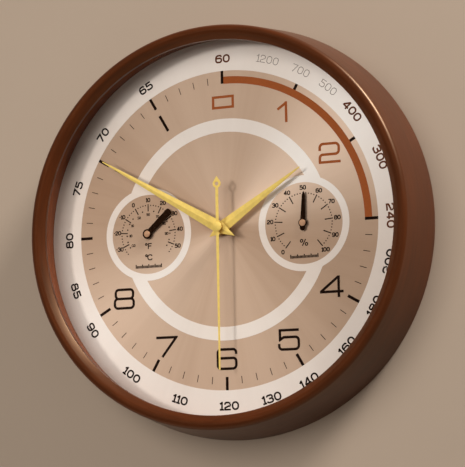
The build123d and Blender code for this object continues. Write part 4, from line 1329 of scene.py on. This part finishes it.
class CLOCK_OT_gauge_scales(ClockOperator, bpy.types.Operator):
    """Print the scales of the thermometer and of the hygrometer"""

    bl_idname = "clock.gauge_scales"
    bl_label = "Gauge scales"

    def execute(self, context):
        size = context.scene.clock_sizes
        dark = ink("dark_ink", context.scene.clock_colours.dark_print)
        settle(self.thermometer(size), "case", dark, "dial_champagne")
        settle(self.hygrometer(size), "case", dark, "dial_champagne")
        return {"FINISHED"}

    def scale(self, name, size, centre, marks, scales, units, drops):
        """Joins dots and ticks, level numbers round the scale and unit signs into one print."""
        unit, thick = size.tick_circle, size.print_thickness
        for number in range(-RULE_TICKS, RULE_TICKS + 1):
            low, high = RULE_SHORT_SHARES if number % RULE_LONG_STEP else RULE_LONG_SHARES
            place = centre + number * RULE_PITCH_SHARE * unit
            marks.append(bar(low * unit, high * unit, 180, TICK_LINE_SHARE * unit, place))
        pieces = [drawn(name + "_marks", marks, thick)]
        for scale in scales:
            figures = Figures(scale.height_share * unit, thick, pen=scale.pen_share, width=scale.width_share)
            for reading in scale.labels:
                place = centre + dial_point(scale.number_radius_share * unit, scale.angle(reading))
                pieces += figures.row(str(reading), place)
        for sign, drop in drops.items():
            pieces += units.row(sign, centre - 1j * drop * unit)
        return laid(joined(name, pieces), thick / 2)

    def dot(self, unit, centre, scale, reading):
        place = centre + dial_point(scale.dot_radius_share * unit, scale.angle(reading))
        return circle(scale.dot_share * unit, place, DOT_STEPS)

    def ticked(self, unit, centre, scale):
        """Outlines of a tick at each tenth reading of a scale and of a dot at the others."""
        inner, outer = (share * unit for share in scale.tick_shares)
        outlines = []
        for reading in scale.marks:
            if reading % LABEL_STEP:
                outlines.append(self.dot(unit, centre, scale, reading))
            else:
                outlines.append(bar(inner, outer, scale.angle(reading), TICK_LINE_SHARE * unit, centre))
        return outlines

    def thermometer(self, size):
        unit = size.tick_circle
        centre = THERMOMETER.x - HUB.x
        marks = self.ticked(unit, centre, CELSIUS)
        for reading in FAHRENHEIT.marks:
            celsius = FAHRENHEIT.angle(reading) / CELSIUS.arc + CELSIUS.top
            if abs(celsius % LABEL_STEP - LABEL_STEP / 2) < FREE_HALF_SPAN:
                marks.append(self.dot(unit, centre, FAHRENHEIT, reading))
        units = Figures(DEGREE_SIGN_HEIGHT_SHARE * unit, size.print_thickness, pen=DEGREE_SIGN_PEN_SHARE)
        scales = (CELSIUS, FAHRENHEIT)
        return self.scale("thermometer_scale", size, centre, marks, scales, units, DEGREE_SIGN_DROP_SHARES)

    def hygrometer(self, size):
        unit = size.tick_circle
        centre = HYGROMETER.x - HUB.x
        marks = self.ticked(unit, centre, HUMIDITY)
        units = Figures(PERCENT_SIGN_HEIGHT_SHARE * unit, size.print_thickness, pen=PERCENT_SIGN_PEN_SHARE)
        scales = (HUMIDITY,)
        return self.scale("hygrometer_scale", size, centre, marks, scales, units, PERCENT_SIGN_DROP_SHARES)


class CLOCK_OT_hands(ClockOperator, bpy.types.Operator):
    """Plate the hands and round a copy of the second hand's cap"""

    bl_idname = "clock.hands"
    bl_label = "Hands"

    def execute(self, context):
        gold = satin_gold(context.scene.clock_colours)
        dress(gold, "hour_hand", "minute_hand", "second_hand")
        dress(turned_brass(), "hour_hand_collet", "minute_hand_collet")
        softened("second_hand_cap", gold, CAP_ROUND)
        return {"FINISHED"}


class CLOCK_OT_needles(ClockOperator, bpy.types.Operator):
    """Lacquer the needles of the gauges and plate their pins"""

    bl_idname = "clock.needles"
    bl_label = "Needles"

    def execute(self, context):
        black = needle_lacquer(context.scene.clock_colours)
        rose = rose_gold(context.scene.clock_colours)
        for gauge in ("thermometer", "hygrometer"):
            softened(gauge + "_needle", black, NEEDLE_ROUND)
            softened(gauge + "_pin", rose, NEEDLE_ROUND)
            dress(zinc_steel(), gauge + "_arbor")
        return {"FINISHED"}


class CLOCK_OT_back(ClockOperator, bpy.types.Operator):
    """Finish the back plate, the gauge cases, their screws and their coils"""

    bl_idname = "clock.back"
    bl_label = "Back"

    def execute(self, context):
        size = context.scene.clock_sizes
        black = black_moulding(context.scene.clock_colours)
        softened("back_plate", black)
        for gauge in ("thermometer", "hygrometer"):
            softened(gauge + "_case", black, size.edge_round)
        for screws in ("back_plate_screws", "gauge_screws"):
            softened(screws, zinc_steel(), SCREW_ROUND)
        for gauge in ("thermometer", "hygrometer"):
            softened(gauge + "_coil", bimetal())
        return {"FINISHED"}


class CLOCK_OT_movement(ClockOperator, bpy.types.Operator):
    """Finish the movement's case, its knob, its battery and its contacts"""

    bl_idname = "clock.movement"
    bl_label = "Movement"

    def execute(self, context):
        size = context.scene.clock_sizes
        moulding = movement_moulding()
        softened("movement_rear_case", moulding, size.edge_round)
        softened("movement_front_case", moulding, size.edge_round)
        softened("setting_knob", moulding, size.edge_round)
        softened("battery", battery_jacket())
        softened("contact_positive", zinc_steel())
        softened("contact_negative", zinc_steel())
        return {"FINISHED"}


class CLOCK_OT_works(ClockOperator, bpy.types.Operator):
    """Finish the wheels, the motor, the circuit and the fixings inside"""

    bl_idname = "clock.works"
    bl_label = "Works"

    def execute(self, context):
        dress(
            acetal(), "seconds_wheel", "third_wheel", "centre_wheel", "motion_wheel", "hour_wheel",
            "intermediate_wheel", "rotor_pinion", "coil_bobbin",
        )
        dress(soft_iron(), "stator", "coil_core")
        dress(wound_wire(), "coil_winding")
        dress(ferrite(), "rotor_magnet")
        dress(solder_mask(), "circuit_board")
        dress(epoxy(), "driver_chip")
        dress(zinc_steel(), "quartz_crystal")
        dress(washer_rubber(), "rubber_washer")
        dress(turned_brass(), "centre_bush", "dial_washer", "fixing_nut")
        return {"FINISHED"}


class CLOCK_OT_stage(ClockOperator, bpy.types.Operator):
    """Set the wall, the floor, the lamps and the camera"""

    bl_idname = "clock.stage"
    bl_label = "Stage"

    def execute(self, context):
        scene = context.scene
        scene.view_settings.view_transform = "Standard"
        wall = self.backdrop(scene.clock_colours)
        self.lamps(scene, wall)
        self.camera(scene)
        return {"FINISHED"}

    def backdrop(self, colours):
        deselect()
        behind = (0, WALL + WALL_GAP, 0)
        bpy.ops.mesh.primitive_plane_add(size=BACKDROP_SPAN, location=behind, rotation=(pi / 2, 0, 0))
        wall = bpy.context.object
        wall.name = "wall"
        bpy.ops.mesh.primitive_plane_add(size=BACKDROP_SPAN, location=(0, 0, FLOOR_HEIGHT))
        floor = bpy.context.object
        floor.name = "floor"
        wall.data.materials.append(wall_paint(colours))
        floor.data.materials.append(floor_paint())
        return wall

    def lamps(self, scene, wall):
        for name, (place, power, radius, colour) in SPOTS.items():
            lamp = bpy.data.lights.new(name, "SPOT")
            lamp.energy = power
            lamp.shadow_soft_size = radius
            lamp.spot_size = radians(SPOT_CONE)
            lamp.spot_blend = SPOT_BLEND
            holder = self.hang(scene, lamp, place, colour)
            if name == "key":
                holder.visible_glossy = False
                holder.light_linking.receiver_collection = self.all_but(wall, name + "_receivers")
        for name, (place, power, size, colour) in SOFTBOXES.items():
            lamp = bpy.data.lights.new(name, "AREA")
            lamp.energy = power
            lamp.size = size
            holder = self.hang(scene, lamp, place, colour)
            holder.visible_glossy = False
            if name == "rear":
                holder.light_linking.blocker_collection = self.all_but(wall, name + "_blockers")
        world = bpy.data.worlds.new("room")
        world.use_nodes = True
        background = world.node_tree.nodes["Background"]
        background.inputs["Color"].default_value = ROOM_COLOUR
        background.inputs["Strength"].default_value = ROOM_STRENGTH
        scene.world = world

    def hang(self, scene, lamp, place, colour):
        """Hangs a lamp at a place from the clock's middle, turned towards it."""
        lamp.color = colour
        holder = bpy.data.objects.new(lamp.name, lamp)
        holder.location = HUB + Vector(place)
        holder.rotation_euler = (-Vector(place)).to_track_quat("-Z", "Y").to_euler()
        scene.collection.objects.link(holder)
        return holder

    def all_but(self, piece, name):
        """A collection for light linking that leaves out one piece."""
        linked = bpy.data.collections.new(name)
        linked.objects.link(piece)
        linked.collection_objects[0].light_linking.link_state = "EXCLUDE"
        return linked

    def camera(self, scene):
        lens = bpy.data.cameras.new("camera")
        lens.lens = LENS_LENGTH
        lens.sensor_width = SENSOR_WIDTH
        camera = bpy.data.objects.new("camera", lens)
        camera.location = (CAMERA_RIGHT, DIAL_FRONT - CAMERA_AHEAD, HUB.z - CAMERA_BELOW)
        camera.rotation_euler = [radians(angle) for angle in CAMERA_TURN]
        scene.collection.objects.link(camera)
        scene.camera = camera


OPERATORS = (
    CLOCK_OT_frame_ring, CLOCK_OT_spacer_hoop, CLOCK_OT_front_glass, CLOCK_OT_dial_plate,
    CLOCK_OT_white_print, CLOCK_OT_ticks, CLOCK_OT_hour_numerals, CLOCK_OT_outer_numbers,
    CLOCK_OT_gauge_scales, CLOCK_OT_hands, CLOCK_OT_needles, CLOCK_OT_back, CLOCK_OT_movement,
    CLOCK_OT_works, CLOCK_OT_stage,
)


class CLOCK_PT_sidebar(bpy.types.Panel):
    """Lists the clock's sizes, colours and pieces"""

    bl_idname = "CLOCK_PT_sidebar"
    bl_label = "Wall clock"
    bl_space_type = "VIEW_3D"
    bl_region_type = "UI"
    bl_category = "Clock"

    def draw(self, context):
        for group in (context.scene.clock_sizes, context.scene.clock_colours):
            column = self.layout.column(align=True)
            for name in group.bl_rna.properties.keys():
                if name not in ("rna_type", "name"):
                    column.prop(group, name)
        column = self.layout.column(align=True)
        for operator in OPERATORS:
            column.operator(operator.bl_idname)


CLASSES = (ClockSizes, ClockColours, *OPERATORS, CLOCK_PT_sidebar)


def register():
    for entry in CLASSES:
        bpy.utils.register_class(entry)
    bpy.types.Scene.clock_sizes = PointerProperty(type=ClockSizes)
    bpy.types.Scene.clock_colours = PointerProperty(type=ClockColours)


def unregister():
    del bpy.types.Scene.clock_colours
    del bpy.types.Scene.clock_sizes
    for entry in reversed(CLASSES):
        bpy.utils.unregister_class(entry)


def main():
    register()
    bpy.ops.clock.frame_ring()
    bpy.ops.clock.spacer_hoop()
    bpy.ops.clock.front_glass()
    bpy.ops.clock.dial_plate()
    bpy.ops.clock.white_print()
    bpy.ops.clock.ticks()
    bpy.ops.clock.hour_numerals()
    bpy.ops.clock.outer_numbers()
    bpy.ops.clock.gauge_scales()
    bpy.ops.clock.hands()
    bpy.ops.clock.needles()
    bpy.ops.clock.back()
    bpy.ops.clock.movement()
    bpy.ops.clock.works()
    bpy.ops.clock.stage()


if __name__ == "__main__":
    main()
